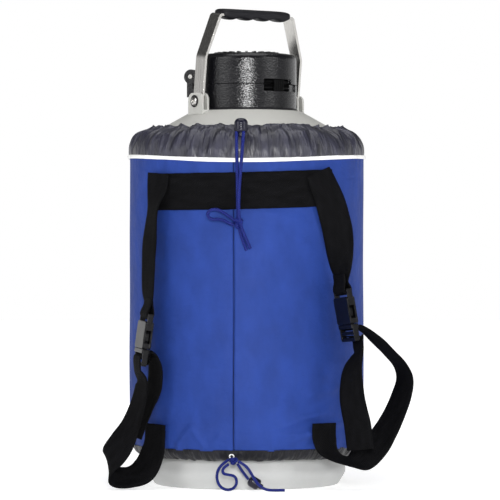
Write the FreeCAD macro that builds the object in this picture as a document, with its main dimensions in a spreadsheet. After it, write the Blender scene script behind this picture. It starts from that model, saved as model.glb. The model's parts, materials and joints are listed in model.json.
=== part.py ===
"""Liquid nitrogen dewar with a carrying handle, a hinged cap and a fabric backpack cover.

Millimetres and degrees, +Z up. The origin is on the vessel's axis, on the surface it stands on.
The front of the cover, with its straps, faces -Y.
"""

import FreeCAD, Part
import math
import os

import Sketcher

DIMENSIONS = {
    # outer vessel
    "shell_radius": 148, "shell_wall": 2.5, "shell_bottom": 38, "shell_bottom_round": 34,
    "shoulder_round": 28, "cone_top_radius": 70.5, "cone_top": 479, "cone_slope": 0.56,
    "foot_radius": 129, "foot_tread_radius": 118, "foot_rim_radius": 122, "foot_belly": 18,
    "foot_wall": 4, "foot_gap": 0.5,
    # inner vessel, neck and what hangs in it
    "inner_radius": 118, "inner_wall": 1.5, "inner_bottom": 90, "inner_top": 345,
    "inner_round": 26, "neck_bore": 25, "neck_wall": 1.5, "neck_top": 492,
    "wrap_thickness": 10, "wrap_gap": 1, "pack_radius": 60, "pack_height": 12,
    "ring_radius": 32, "ring_height": 4, "rod_radius": 1.25, "rod_offset": 22.5,
    "canister_radius": 19, "canister_height": 120, "canister_wall": 0.8, "canister_pitch": 70,
    "spider_radius": 91.5, "spider_height": 6, "plug_radius": 20, "plug_bottom": 350,
    "plug_head_radius": 33, "plug_head_bottom": 500, "plug_head_height": 15,
    # cap: collar, lid, hinge and latch
    "cap_radius": 64.5, "cap_wall": 5, "collar_bottom": 482, "collar_top": 512, "lid_gap": 0.8,
    "lid_top": 552, "lid_round": 8, "flange_height": 4, "flange_bore": 36, "screw_circle": 48,
    "screw_radius": 2, "screw_head_radius": 3.6, "hinge_turn": -110, "hinge_offset": 70,
    "hinge_height": 524.5, "barrel_radius": 9.5, "barrel_half": 18, "lid_knuckle_half": 7,
    "knuckle_gap": 0.5, "hinge_pin_radius": 1.8, "latch_floor": 61.2, "notch_bottom": 503,
    "notch_top": 518.5, "latch_height": 14, "rib_height": 1.6,
    # carrying handle
    "handle_turn": 35, "handle_lean": 7, "pivot_height": 490.5, "strip_width": 21,
    "strip_thickness": 3, "arm_foot": 75.9, "arm_bend": 75.9, "bend_height": 548,
    "arm_top": 58, "handle_top": 604,
    "grip_half": 52, "grip_width": 29, "grip_low": 596, "grip_high": 610, "bolt_radius": 4,
    "bolt_head_radius": 7.5, "bracket_width": 32, "bracket_low": 466, "bracket_high": 501,
    "bracket_inner": 69.4, "bracket_outer": 79.9, "bracket_plate": 2.5, "running_fit": 0.1,
    # cover
    "cover_radius": 151.5, "cover_inner": 149.2, "sleeve_low": 47.5, "sleeve_high": 415.5,
    "hood_low": 420.5, "piping_height": 418, "piping_ring": 151.2, "piping_radius": 2.3,
    "band_low": 353, "band_high": 399, "band_inner": 151.9, "band_outer": 153.6,
    "band_from": -53, "band_sweep": 98,
    # straps and their buckles
    "strap_width": 38, "strap_thickness": 1.8, "buckle_width": 44, "buckle_thickness": 11,
    "socket_length": 44, "plug_length": 22, "cavity_half": 18, "cavity_depth": 28,
    "cavity_thickness": 6, "prong_length": 24,
    # drawcords and their locks
    "cord_diameter": 4, "lock_radius": 8.5, "lock_button_radius": 4, "small_lock_scale": 0.85,
}

NODES = []
VECTOR = FreeCAD.Vector
UP = VECTOR(0, 0, 1)
DOC = FreeCAD.newDocument("liquid_nitrogen_dewar")
SHEET = DOC.addObject("Spreadsheet::Sheet", "Dimensions")


class Size:
    """A length that carries its value and the spreadsheet formula that gives it."""

    def __init__(self, value, formula=None):
        self.value = float(value)
        self.formula = formula or repr(float(value))

    def __add__(self, other):
        other = sized(other)
        return Size(self.value + other.value, f"({self.formula} + {other.formula})")

    def __sub__(self, other):
        other = sized(other)
        return Size(self.value - other.value, f"({self.formula} - {other.formula})")

    def __mul__(self, other):
        other = sized(other)
        return Size(self.value * other.value, f"({self.formula} * {other.formula})")

    def __neg__(self):
        return self * -1


def sized(number):
    return number if isinstance(number, Size) else Size(number)


class Dimensions:
    """The spreadsheet's cells as named sizes."""

    def __init__(self):
        for row, (alias, value) in enumerate(DIMENSIONS.items(), start=1):
            SHEET.set(f"A{row}", alias)
            SHEET.set(f"B{row}", str(value))
            SHEET.setAlias(f"B{row}", alias)
            setattr(self, alias, Size(value, f"Dimensions.{alias}"))


D = Dimensions()


# Building blocks -----------------------------------------------------------------------------

def bind(thing, name, size):
    """Set one property of an object and tie it to the spreadsheet."""
    size = sized(size)
    if "." not in name:
        setattr(thing, name, size.value)
    thing.setExpression(name, size.formula)


def new_body(label):
    body = DOC.addObject("PartDesign::Body", label)
    body.Label = label
    return body


def keep(thing):
    """Count an object among the sub-parts that are written out."""
    NODES.append(thing)
    return thing


def feature(label, shape, placement=None):
    """A sub-part whose shape comes straight from Part's functions."""
    thing = DOC.addObject("Part::Feature", label)
    thing.Label = label
    thing.Shape = shape
    if placement:
        thing.Placement = placement
    return thing


def flat(point):
    return VECTOR(sized(point[0]).value, sized(point[1]).value, 0)


def rounding(before, corner, after, radius):
    """Where an arc that rounds a corner starts, where it is furthest, and where it ends."""
    back = (before - corner).normalize()
    on = (after - corner).normalize()
    half = back.getAngle(on) / 2
    reach = radius / math.tan(half)
    middle = (back + on).normalize()
    centre = corner + middle * (radius / math.sin(half))
    return corner + back * reach, centre - middle * radius, corner + on * reach


def fix_point(sketch, geometry, place, point, name):
    """Tie one point of a sketch to its formulas."""
    for kind, size in zip(("DistanceX", "DistanceY"), point):
        size = sized(size)
        number = sketch.addConstraint(
            Sketcher.Constraint(kind, -1, 1, geometry, place, size.value))
        sketch.renameConstraint(number, name + kind[-1])
        sketch.setExpression(f"Constraints.{name}{kind[-1]}", size.formula)


def outline(body, name, role, corners, offset=0):
    """Closed sketch through corners (u, v) or (u, v, rounding radius) on one of the body's planes."""
    sketch = new_sketch(body, name, role, offset)
    count = len(corners)
    points = [flat(corner) for corner in corners]
    arcs = {}
    for i, corner in enumerate(corners):
        if len(corner) == 3:
            radius = sized(corner[2]).value
            arcs[i] = rounding(points[i - 1], points[i], points[(i + 1) % count], radius)
    lines = []
    for i in range(count):
        after = (i + 1) % count
        start = arcs[i][2] if i in arcs else points[i]
        end = arcs[after][0] if after in arcs else points[after]
        lines.append(sketch.addGeometry(Part.LineSegment(start, end), False))
    for i, corner in enumerate(corners):
        before, on = lines[i - 1], lines[i]
        if i not in arcs:
            sketch.addConstraint(Sketcher.Constraint("Coincident", before, 2, on, 1))
            fix_point(sketch, on, 1, corner[:2], f"corner{i}")
            continue
        arc = sketch.addGeometry(Part.Arc(*arcs[i]), False)
        turn_left = ((points[i] - points[i - 1]).cross(points[(i + 1) % count] - points[i])).z > 0
        first, last = (1, 2) if turn_left else (2, 1)
        sketch.addConstraint(Sketcher.Constraint("Tangent", before, 2, arc, first))
        sketch.addConstraint(Sketcher.Constraint("Tangent", arc, last, on, 1))
        number = sketch.addConstraint(Sketcher.Constraint("Radius", arc, sized(corner[2]).value))
        sketch.renameConstraint(number, f"round{i}")
        sketch.setExpression(f"Constraints.round{i}", sized(corner[2]).formula)
        tip = sketch.addGeometry(Part.Point(points[i]), True)
        sketch.addConstraint(Sketcher.Constraint("PointOnObject", tip, 1, before))
        sketch.addConstraint(Sketcher.Constraint("PointOnObject", tip, 1, on))
        fix_point(sketch, tip, 1, corner[:2], f"corner{i}")
    return sketch


def new_sketch(body, name, role, offset=0):
    plane = [part for part in body.Origin.OriginFeatures if part.Role == role][0]
    sketch = body.newObject("Sketcher::SketchObject", f"{body.Label}_{name}")
    sketch.AttachmentSupport = [(plane, "")]
    sketch.MapMode = "FlatFace"
    offset = sized(offset)
    sketch.AttachmentOffset = FreeCAD.Placement(VECTOR(0, 0, offset.value), FreeCAD.Rotation())
    sketch.setExpression("AttachmentOffset.Base.z", offset.formula)
    return sketch


def circles(body, name, role, rings, offset=0):
    """Sketch of circles, each given as (u, v, radius)."""
    sketch = new_sketch(body, name, role, offset)
    for i, (across, along, radius) in enumerate(rings):
        middle = flat((across, along))
        ring = sketch.addGeometry(Part.Circle(middle, UP, sized(radius).value), False)
        fix_point(sketch, ring, 3, (across, along), f"centre{i}")
        number = sketch.addConstraint(Sketcher.Constraint("Radius", ring, sized(radius).value))
        sketch.renameConstraint(number, f"radius{i}")
        sketch.setExpression(f"Constraints.radius{i}", sized(radius).formula)
    return sketch


def spin(body, sketch, angle=360, cut=False):
    """Revolve a sketch about the body's own Z axis, to add or to cut."""
    kind = "PartDesign::Groove" if cut else "PartDesign::Revolution"
    turned = body.newObject(kind, sketch.Name + "_turned")
    turned.Profile = sketch
    turned.ReferenceAxis = (sketch, ["V_Axis"])
    bind(turned, "Angle", angle)
    DOC.recompute()
    return turned


def push(body, sketch, length, cut=False, both=False, reverse=False):
    """Pad or pocket a sketch, to one side or evenly to both, and check that a cut cuts."""
    DOC.recompute()
    before = body.Shape.Volume if cut else 0
    kind = "PartDesign::Pocket" if cut else "PartDesign::Pad"
    pushed = body.newObject(kind, sketch.Name + "_pushed")
    pushed.Profile = sketch
    pushed.Midplane = both
    pushed.Reversed = reverse
    bind(pushed, "Length", length)
    DOC.recompute()
    if cut and not body.Shape.Volume < before - 1e-6:
        raise RuntimeError(f"{sketch.Name} cuts nothing")
    return pushed


def around(body, pushed, count):
    """Repeat a feature evenly about the body's Z axis."""
    pattern = body.newObject("PartDesign::PolarPattern", pushed.Name + "_around")
    pattern.Originals = [pushed]
    axis = [part for part in body.Origin.OriginFeatures if part.Role == "Z_Axis"][0]
    pattern.Axis = (axis, [""])
    pattern.Angle = 360
    pattern.Occurrences = count
    body.Tip = pattern
    DOC.recompute()
    return pattern


def turned_part(label, corners):
    """A round sub-part revolved from one closed profile."""
    body = new_body(label)
    spin(body, outline(body, "profile", "XZ_Plane", corners))
    return keep(body)


def frame_placement(origin, across, down):
    """Placement whose local X runs across, and whose local -Z runs down."""
    lift = -VECTOR(*down).normalize()
    side = VECTOR(*across)
    side = (side - lift * side.dot(lift)).normalize()
    normal = lift.cross(side)
    turn = FreeCAD.Rotation(side, normal, lift, "ZXY")
    return FreeCAD.Placement(VECTOR(*origin), turn)


def turn_about_z(angle):
    return FreeCAD.Placement(VECTOR(0, 0, 0), FreeCAD.Rotation(UP, angle))


def lean_handle():
    """Placement of the handle: leaning a little about its pivots, and turned with them."""
    pivots = VECTOR(0, 0, DIMENSIONS["pivot_height"])
    lean = FreeCAD.Rotation(VECTOR(1, 0, 0), DIMENSIONS["handle_lean"])
    upright = FreeCAD.Placement(VECTOR(0, 0, 0), lean, pivots)
    return turn_about_z(DIMENSIONS["handle_turn"]).multiply(upright)


# Outer vessel and foot -----------------------------------------------------------------------

def cone_height(radius, lift=0):
    """Height of the shoulder cone at a radius."""
    return D.cone_top - (sized(radius) - D.cone_top_radius) * D.cone_slope + lift


def make_outer_shell():
    """Aluminium outer vessel: flat bottom, rolled corner, straight side, shoulder cone, neck hole."""
    slant = math.sqrt(1 + DIMENSIONS["cone_slope"] ** 2)
    inside = D.shell_radius - D.shell_wall
    neck_hole = D.neck_bore + D.neck_wall + 0.1
    plate = D.cone_top - D.shell_wall
    body = new_body("outer_shell")
    spin(body, outline(body, "profile", "XZ_Plane", [
        (0, D.shell_bottom),
        (D.shell_radius, D.shell_bottom, D.shell_bottom_round),
        (D.shell_radius, cone_height(D.shell_radius), D.shoulder_round),
        (D.cone_top_radius, D.cone_top),
        (neck_hole, D.cone_top),
        (neck_hole, plate),
        (D.cone_top_radius, plate),
        (inside, cone_height(inside, -D.shell_wall * slant), D.shoulder_round - D.shell_wall),
        (inside, D.shell_bottom + D.shell_wall, D.shell_bottom_round - D.shell_wall),
        (0, D.shell_bottom + D.shell_wall),
    ]))
    hole = circles(body, "screw_hole", "XY_Plane",
                   [(D.screw_circle, 0, D.screw_radius + 0.2)], offset=D.cone_top)
    around(body, push(body, hole, D.shell_wall * 2, cut=True), 4)
    return keep(body)


def make_foot():
    """Moulded foot pan with a bulging side and a closed flat bottom."""
    rim = D.shell_bottom - D.foot_gap
    return turned_part("foot_pan", [
        (0, 0),
        (D.foot_tread_radius, 0, 3),
        (D.foot_radius, D.foot_belly, 14),
        (D.foot_rim_radius, rim),
        (D.foot_rim_radius - D.foot_wall * 2, rim),
        (D.foot_radius - D.foot_wall * 2, D.foot_belly, 10),
        (D.foot_tread_radius - D.foot_wall, D.foot_wall),
        (0, D.foot_wall),
    ])


def make_vacuum_port():
    """Pumping stub under the shell's bottom and the cap pressed over it, both inside the foot."""
    stub, stub_wall, off_axis = 8, 1.5, 60
    port_low, cap_low, cap_high = 18, 14, 26
    port = turned_part("vacuum_port", [
        (stub - stub_wall, port_low), (stub, port_low),
        (stub, D.shell_bottom), (stub - stub_wall, D.shell_bottom)])
    cap = turned_part("vacuum_port_cap", [
        (0, cap_low), (stub + 2.5, cap_low), (stub + 2.5, cap_high), (stub + 0.2, cap_high),
        (stub + 0.2, port_low - 0.5), (0, port_low - 0.5)])
    for body in (port, cap):
        body.Placement = FreeCAD.Placement(VECTOR(off_axis, 0, 0), FreeCAD.Rotation())


# Inner vessel, neck and contents -------------------------------------------------------------

def vessel_profile(radius, low, high, corner, wall, hole):
    """Closed profile of a thin can with rounded corners and a hole in its top."""
    inside = radius - wall
    return [
        (0, low), (radius, low, corner), (radius, high, corner), (hole, high),
        (hole, high - wall), (inside, high - wall, corner - wall),
        (inside, low + wall, corner - wall), (0, low + wall)]


def make_inner_vessel():
    """Inner vessel, its insulation wrap, the neck tube and the adsorbent pack."""
    neck_outside = D.neck_bore + D.neck_wall
    turned_part("inner_vessel", vessel_profile(
        D.inner_radius, D.inner_bottom, D.inner_top, D.inner_round, D.inner_wall,
        neck_outside + 0.05))
    grow = D.wrap_gap + D.wrap_thickness
    turned_part("insulation_wrap", vessel_profile(
        D.inner_radius + grow, D.inner_bottom - grow, D.inner_top + grow,
        D.inner_round + grow, D.wrap_thickness, neck_outside + 1))
    turned_part("neck_tube", [
        (D.neck_bore, D.inner_top - 3), (neck_outside, D.inner_top - 3),
        (neck_outside, D.neck_top), (D.neck_bore, D.neck_top)])
    pack_low = D.inner_top + grow + 0.5
    turned_part("adsorbent_pack", [
        (neck_outside + 3, pack_low), (D.pack_radius, pack_low),
        (D.pack_radius, pack_low + D.pack_height), (neck_outside + 3, pack_low + D.pack_height)])


def make_neck_ring():
    """Ring on the neck tube's top with six slots that the canister rods hook over."""
    body = new_body("neck_index_ring")
    spin(body, outline(body, "profile", "XZ_Plane", [
        (D.neck_bore, D.neck_top), (D.ring_radius, D.neck_top),
        (D.ring_radius, D.neck_top + D.ring_height), (D.neck_bore, D.neck_top + D.ring_height)]))
    slot = outline(body, "slot", "XY_Plane", [
        (D.neck_bore - 2, -1.7), (D.neck_bore + 3, -1.7), (D.neck_bore + 3, 1.7),
        (D.neck_bore - 2, 1.7)], offset=D.neck_top + D.ring_height)
    around(body, push(body, slot, 1.5, cut=True), 6)
    return keep(body)


def make_spider():
    """Plate on the inner vessel's bottom with six holes that hold the canisters apart."""
    floor = D.inner_bottom + D.inner_wall + 0.3
    body = new_body("canister_spider")
    spin(body, outline(body, "profile", "XZ_Plane", [
        (0, floor), (D.spider_radius, floor),
        (D.spider_radius, floor + D.spider_height), (0, floor + D.spider_height)]))
    hole = circles(body, "hole", "XY_Plane",
                   [(D.canister_pitch, 0, D.canister_radius + 0.5)],
                   offset=floor + D.spider_height)
    around(body, push(body, hole, D.spider_height * 2, cut=True), 6)
    return keep(body)


def make_canisters():
    """Six sample canisters, each a cup with a bent rod that hooks over the neck ring."""
    low = DIMENSIONS["inner_bottom"] + DIMENSIONS["inner_wall"] + 0.5
    high = low + DIMENSIONS["canister_height"]
    cup_radius, wall = DIMENSIONS["canister_radius"], DIMENSIONS["canister_wall"]
    pitch, rod = DIMENSIONS["canister_pitch"], DIMENSIONS["rod_radius"]
    hook_height = DIMENSIONS["neck_top"] + DIMENSIONS["ring_height"] + rod + 0.3
    rod_at = DIMENSIONS["rod_offset"]
    middle = VECTOR(pitch, 0, low)
    cup = Part.makeCylinder(cup_radius, high - low, middle)
    cup = cup.cut(Part.makeCylinder(cup_radius - wall, high - low, middle + UP * wall))
    rim = pitch - cup_radius + wall / 2
    route = [VECTOR(rim, 0, high - 12), VECTOR(rim, 0, high + 30),
             VECTOR(rod_at, 0, DIMENSIONS["plug_bottom"] - 25), VECTOR(rod_at, 0, hook_height),
             VECTOR(DIMENSIONS["ring_radius"] - 2, 0, hook_height)]
    shape = cup.fuse(tube(route, rod, bend=4)).removeSplitter()
    for number in range(6):
        keep(feature(f"canister_{number + 1}", shape.copy(), turn_about_z(60 * number)))


def make_neck_plug():
    """Foam neck plug and the moulded head that it hangs from."""
    head_low = D.plug_head_bottom
    head_high = head_low + D.plug_head_height
    turned_part("neck_plug_foam", [
        (0, D.plug_bottom), (D.plug_radius, D.plug_bottom, 2), (D.plug_radius, head_low),
        (0, head_low)])
    turned_part("neck_plug_head", [
        (0, head_low + 0.05), (D.plug_head_radius, head_low + 0.05, 1.5),
        (D.plug_head_radius, head_high, 4), (0, head_high)])


# Cap -----------------------------------------------------------------------------------------

# Plan angles of the latch's notch, in two halves so that its floor follows the cap's round wall.
NOTCH_HALVES = (("latch_notch", 20, 42), ("latch_notch_far", 40, 62))
WEDGE_RECESS = (60, 77)


def sector(body, name, low, high, inner, outer, from_angle, to_angle, cut):
    """Add or cut a block between two radii and two plan angles, measured from the front."""
    across = math.radians(from_angle), math.radians(to_angle)
    corners = []
    for radius, angle in ((inner, across[0]), (outer, across[0]), (outer, across[1]),
                          (inner, across[1])):
        stretch = 1 / math.cos((across[1] - across[0]) / 2) if radius is outer else 1
        corners.append((sized(radius) * (math.sin(angle) * stretch),
                        sized(radius) * (-math.cos(angle) * stretch)))
    sketch = outline(body, name, "XY_Plane", corners, offset=low)
    return push(body, sketch, sized(high) - low, cut=cut, reverse=cut)


def make_collar():
    """Lower half of the cap: a ring bolted to the shell's top, notched for the latch."""
    inner = D.cap_radius - D.cap_wall
    body = new_body("cap_collar")
    spin(body, outline(body, "profile", "XZ_Plane", [
        (D.flange_bore, D.collar_bottom), (D.cap_radius, D.collar_bottom),
        (D.cap_radius, D.collar_top), (inner, D.collar_top),
        (inner, D.collar_bottom + D.flange_height),
        (D.flange_bore, D.collar_bottom + D.flange_height)]))
    hole = circles(body, "screw_hole", "XY_Plane", [(D.screw_circle, 0, D.screw_radius + 0.2)],
                   offset=D.collar_bottom + D.flange_height)
    around(body, push(body, hole, D.flange_height * 2, cut=True), 4)
    beyond = D.cap_radius + 5
    for name, start, end in NOTCH_HALVES:
        sector(body, name, D.notch_bottom, D.collar_top + 5, D.latch_floor, beyond,
               start, end, cut=True)
    sector(body, "wedge_recess", D.notch_bottom, D.collar_top + 5, D.latch_floor + 1.3, beyond,
           *WEDGE_RECESS, cut=True)
    return body


def local_box(width, length, height, at):
    """Box centred on x and y at a place, standing on z."""
    return Part.makeBox(width, length, height,
                        VECTOR(at[0] - width / 2, at[1] - length / 2, at[2]))


def hinge_slices(spans, radius, bore):
    """Barrel slices along the hinge axis, which runs along local X at the back of the cap."""
    offset, height = -DIMENSIONS["hinge_offset"], DIMENSIONS["hinge_height"]
    slices = None
    for start, end in spans:
        at = VECTOR(start, offset, height)
        slice_ = Part.makeCylinder(radius, end - start, at, VECTOR(1, 0, 0))
        if bore:
            slice_ = slice_.cut(Part.makeCylinder(bore, end - start, at, VECTOR(1, 0, 0)))
        slices = slice_ if slices is None else slices.fuse(slice_)
    return slices


def finish_cap_part(label, base, added, removed=None):
    """Join the hinge pieces to a turned cap part, both turned to where the hinge is."""
    base.Label = label + "_turned"
    extra = feature(label + "_hinge_block", added, turn_about_z(DIMENSIONS["hinge_turn"]))
    if removed:
        away = feature(label + "_hinge_room", removed, turn_about_z(DIMENSIONS["hinge_turn"]))
        roomy = DOC.addObject("Part::Cut", label + "_roomy")
        roomy.Base, roomy.Tool = base, away
        base = roomy
    joined = DOC.addObject("Part::Fuse", label + "_whole")
    joined.Base, joined.Tool = base, extra
    joined.Label = label
    DOC.recompute()
    return keep(joined)


def make_cap():
    """Collar and lid with their interleaved hinge knuckles, the hinge pin and the gasket."""
    radius, half = DIMENSIONS["barrel_radius"], DIMENSIONS["barrel_half"]
    knuckle, gap = DIMENSIONS["lid_knuckle_half"], DIMENSIONS["knuckle_gap"]
    bore = DIMENSIONS["hinge_pin_radius"] + 0.05
    offset, height = -DIMENSIONS["hinge_offset"], DIMENSIONS["hinge_height"]
    collar_high = DIMENSIONS["collar_top"]
    fixed = [(-half, -knuckle - gap), (knuckle + gap, half)]
    leaf_tall, leaf_thick, foot_deep, foot_tall = 14, 8, 14, 10
    leaf_low, leaf_back = collar_high - leaf_tall, offset - 5.5
    room_deep, room_tall = 18, 14
    pin_hole = Part.makeCylinder(bore, 3 * half, VECTOR(-1.5 * half, offset, height),
                                 VECTOR(1, 0, 0))

    leaves = None
    for start, end in fixed:
        corner = VECTOR(start, leaf_back, leaf_low)
        leaf = Part.makeBox(end - start, leaf_thick, height - leaf_low, corner)
        leaf = leaf.fuse(Part.makeBox(end - start, foot_deep, foot_tall, corner))
        leaves = leaf if leaves is None else leaves.fuse(leaf)
    leaves = leaves.fuse(hinge_slices(fixed, radius, 0)).cut(pin_hole)
    finish_cap_part("cap_collar", make_collar(), leaves)

    room = None
    for start, end in fixed:
        span = end - start + 2 * gap
        clear = Part.makeCylinder(radius + 1, span, VECTOR(start - gap, offset, height),
                                  VECTOR(1, 0, 0))
        below = Part.makeBox(span, room_deep, room_tall,
                             VECTOR(start - gap, offset - 8, height - room_tall))
        clear = clear.fuse(below)
        room = clear if room is None else room.fuse(clear)
    lid_barrel = hinge_slices([(-knuckle, knuckle)], radius, 0)
    web_deep, web_tall = 8, 9
    web = Part.makeBox(2 * knuckle, web_deep, web_tall, VECTOR(-knuckle, offset, height - 1))
    lid_barrel = lid_barrel.fuse(web).cut(pin_hole)
    finish_cap_part("cap_lid", make_lid(), lid_barrel, room)

    pin_half, pin_head_radius, pin_head_thick = half + 1.5, 2.8, 1.2
    pin = Part.makeCylinder(DIMENSIONS["hinge_pin_radius"], 2 * pin_half,
                            VECTOR(-pin_half, offset, height), VECTOR(1, 0, 0))
    for end in (-pin_half - pin_head_thick, pin_half):
        pin = pin.fuse(Part.makeCylinder(pin_head_radius, pin_head_thick,
                                         VECTOR(end, offset, height), VECTOR(1, 0, 0)))
    keep(feature("hinge_pin", pin, turn_about_z(DIMENSIONS["hinge_turn"])))


def make_lid():
    """Upper half of the cap: a deep lid with a rounded edge and a ribbed raised disc on top."""
    low = D.collar_top + D.lid_gap
    inner = D.cap_radius - D.cap_wall
    disc, disc_height = 46, 1.2
    rib_inner, rib_outer, rib_half = disc - 14, disc - 4, 1.6
    body = new_body("cap_lid_shell")
    spin(body, outline(body, "profile", "XZ_Plane", [
        (inner, low), (D.cap_radius, low), (D.cap_radius, D.lid_top, D.lid_round),
        (disc, D.lid_top), (disc - 3, D.lid_top + disc_height), (0, D.lid_top + disc_height),
        (0, D.lid_top - 4), (inner, D.lid_top - 4, 6)]))
    rib = outline(body, "rib", "XY_Plane", [
        (rib_inner, -rib_half), (rib_outer, -rib_half), (rib_outer, rib_half),
        (rib_inner, rib_half)],
        offset=D.lid_top + disc_height)
    around(body, push(body, rib, D.rib_height), 24)
    for name, start, end in NOTCH_HALVES:
        sector(body, name, low - 5, D.notch_top, D.latch_floor, D.cap_radius + 5,
               start, end, cut=True)
    return body


def make_latch():
    """Sliding catch in the notch: a curved block with grip ribs, turned about the cap's axis."""
    low = DIMENSIONS["notch_bottom"] + 0.6
    tall = DIMENSIONS["latch_height"]
    inner, outer = DIMENSIONS["latch_floor"] + 0.6, DIMENSIONS["cap_radius"] - 0.9
    start, end = 33.5, 48.5
    rib_count, rib_depth, rib_width, rib_margin = 5, 1.4, 0.9, 1.5
    block = Part.makeCylinder(outer, tall, VECTOR(0, 0, low), UP, end - start)
    block = block.cut(Part.makeCylinder(inner, tall, VECTOR(0, 0, low)))
    for number in range(rib_count):
        rib = local_box(rib_depth, rib_width, tall - 2 * rib_margin, (outer, 0, low + rib_margin))
        rib.rotate(VECTOR(0, 0, 0), UP, (end - start) * (number + 0.5) / rib_count)
        block = block.fuse(rib)
    keep(feature("latch_slider", block.removeSplitter(), turn_about_z(start - 90)))


def make_gasket_and_screws():
    """Gasket under the collar and the four screws that hold the collar to the shell."""
    inner, outer = D.flange_bore, D.cap_radius - 1
    body = new_body("collar_gasket")
    spin(body, outline(body, "profile", "XZ_Plane", [
        (inner, D.cone_top), (outer, D.cone_top), (outer, D.collar_bottom),
        (inner, D.collar_bottom)]))
    hole = circles(body, "screw_hole", "XY_Plane", [(D.screw_circle, 0, D.screw_radius + 0.2)],
                   offset=D.collar_bottom)
    around(body, push(body, hole, 4, cut=True), 4)
    keep(body)
    seat = DIMENSIONS["collar_bottom"] + DIMENSIONS["flange_height"]
    shank, head = DIMENSIONS["screw_radius"], DIMENSIONS["screw_head_radius"]
    screws = []
    for number in range(4):
        angle = math.radians(90 * number)
        at = VECTOR(math.cos(angle), math.sin(angle), 0) * DIMENSIONS["screw_circle"]
        low = DIMENSIONS["cone_top"] - DIMENSIONS["shell_wall"] - 4
        screw = Part.makeCylinder(shank, seat - low + 0.5, at + UP * low)
        screws.append(screw.fuse(Part.makeCylinder(head, 2.6, at + UP * seat)))
    keep(feature("collar_screws", Part.makeCompound(screws)))


# Carrying handle -----------------------------------------------------------------------------

def make_bail():
    """Bent steel strip: two arms that lean in above a bend, and a top bar."""
    foot = D.pivot_height - D.strip_width * 0.5
    inward = D.strip_thickness * 1.05
    right = [(D.arm_foot, foot), (D.arm_bend, D.bend_height, 20), (D.arm_top, D.handle_top, 6)]
    inner_top = D.handle_top - D.strip_thickness
    left = [(-D.arm_top, D.handle_top, 6), (-D.arm_bend, D.bend_height, 20), (-D.arm_foot, foot),
            (-D.arm_foot + D.strip_thickness, foot),
            (-D.arm_bend + D.strip_thickness, D.bend_height, 17),
            (-D.arm_top + inward, inner_top, 3), (D.arm_top - inward, inner_top, 3),
            (D.arm_bend - D.strip_thickness, D.bend_height, 17),
            (D.arm_foot - D.strip_thickness, foot)]
    body = new_body("handle_bail")
    push(body, outline(body, "profile", "XZ_Plane", right + left), D.strip_width, both=True)
    hole = circles(body, "pivot_hole", "YZ_Plane",
                   [(0, D.pivot_height, D.bolt_radius + D.running_fit * 0.6)])
    push(body, hole, D.arm_foot * 4, cut=True, both=True)
    half, beyond = D.strip_width * 0.5, D.strip_width * 0.8
    ends = outline(body, "ends", "YZ_Plane", [
        (-beyond, foot - 5), (beyond, foot - 5), (beyond, D.pivot_height),
        (half, D.pivot_height), (half, foot, D.strip_width * 0.48),
        (-half, foot, D.strip_width * 0.48), (-half, D.pivot_height), (-beyond, D.pivot_height)])
    push(body, ends, D.arm_foot * 4, cut=True, both=True)
    body.Placement = lean_handle()
    return keep(body)


def make_grip():
    """Rubber grip round the top bar, with finger waves along its underside."""
    wave_count, wave_depth = 4, 2.2
    pitch = D.grip_half * (2 / wave_count)
    underside = [(D.grip_half, D.grip_low + wave_depth)]
    for number in range(wave_count):
        crest = D.grip_half - pitch * (number + 0.5)
        underside.append((crest + pitch * 0.28, D.grip_low, 5))
        underside.append((crest - pitch * 0.28, D.grip_low, 5))
        if number < wave_count - 1:
            underside.append((crest - pitch * 0.5, D.grip_low + wave_depth, 5))
    underside.append((-D.grip_half, D.grip_low + wave_depth))
    body = new_body("handle_grip")
    corners = [(-D.grip_half, D.grip_high, 4), (D.grip_half, D.grip_high, 4)] + underside
    push(body, outline(body, "side", "XZ_Plane", corners), D.grip_width, both=True)
    slot_low = D.handle_top - D.strip_thickness - 0.1
    slot_half = D.strip_width * 0.5 + 0.1
    slot = outline(body, "slot", "YZ_Plane", [
        (-slot_half, slot_low), (slot_half, slot_low),
        (slot_half, D.handle_top + 0.1), (-slot_half, D.handle_top + 0.1)])
    push(body, slot, D.grip_half * 3, cut=True, both=True)
    body.Placement = lean_handle()
    return keep(body)


def make_bracket(side, turn):
    """Welded clevis: two upright plates joined at the foot, cut to sit on the shoulder cone."""
    half = D.bracket_width * 0.5
    width = D.bracket_outer - D.bracket_inner
    body = new_body(f"handle_bracket_{side}")
    plates = outline(body, "side", "YZ_Plane", [
        (-half, D.bracket_low), (half, D.bracket_low), (half, D.bracket_high, 9),
        (-half, D.bracket_high, 9)], offset=D.bracket_inner)
    push(body, plates, width)
    slot_floor = D.pivot_height - D.strip_width * 0.5 - 0.8
    slot = outline(body, "slot", "XZ_Plane", [
        (D.bracket_inner + D.bracket_plate, slot_floor),
        (D.bracket_outer - D.bracket_plate, slot_floor),
        (D.bracket_outer - D.bracket_plate, D.bracket_high + 5),
        (D.bracket_inner + D.bracket_plate, D.bracket_high + 5)])
    push(body, slot, D.bracket_width * 2, cut=True, both=True)
    hole = circles(body, "pivot_hole", "YZ_Plane",
                   [(0, D.pivot_height, D.bolt_radius + D.running_fit)])
    push(body, hole, D.bracket_outer * 3, cut=True, both=True)
    seat = outline(body, "shoulder", "XZ_Plane", [
        (40, D.bracket_low - 20), (120, D.bracket_low - 20), (120, cone_height(120, 0.05)),
        (40, cone_height(40, 0.05))])
    spin(body, seat, cut=True)
    body.Placement = turn_about_z(DIMENSIONS["handle_turn"] + turn)
    return keep(body)


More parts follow.
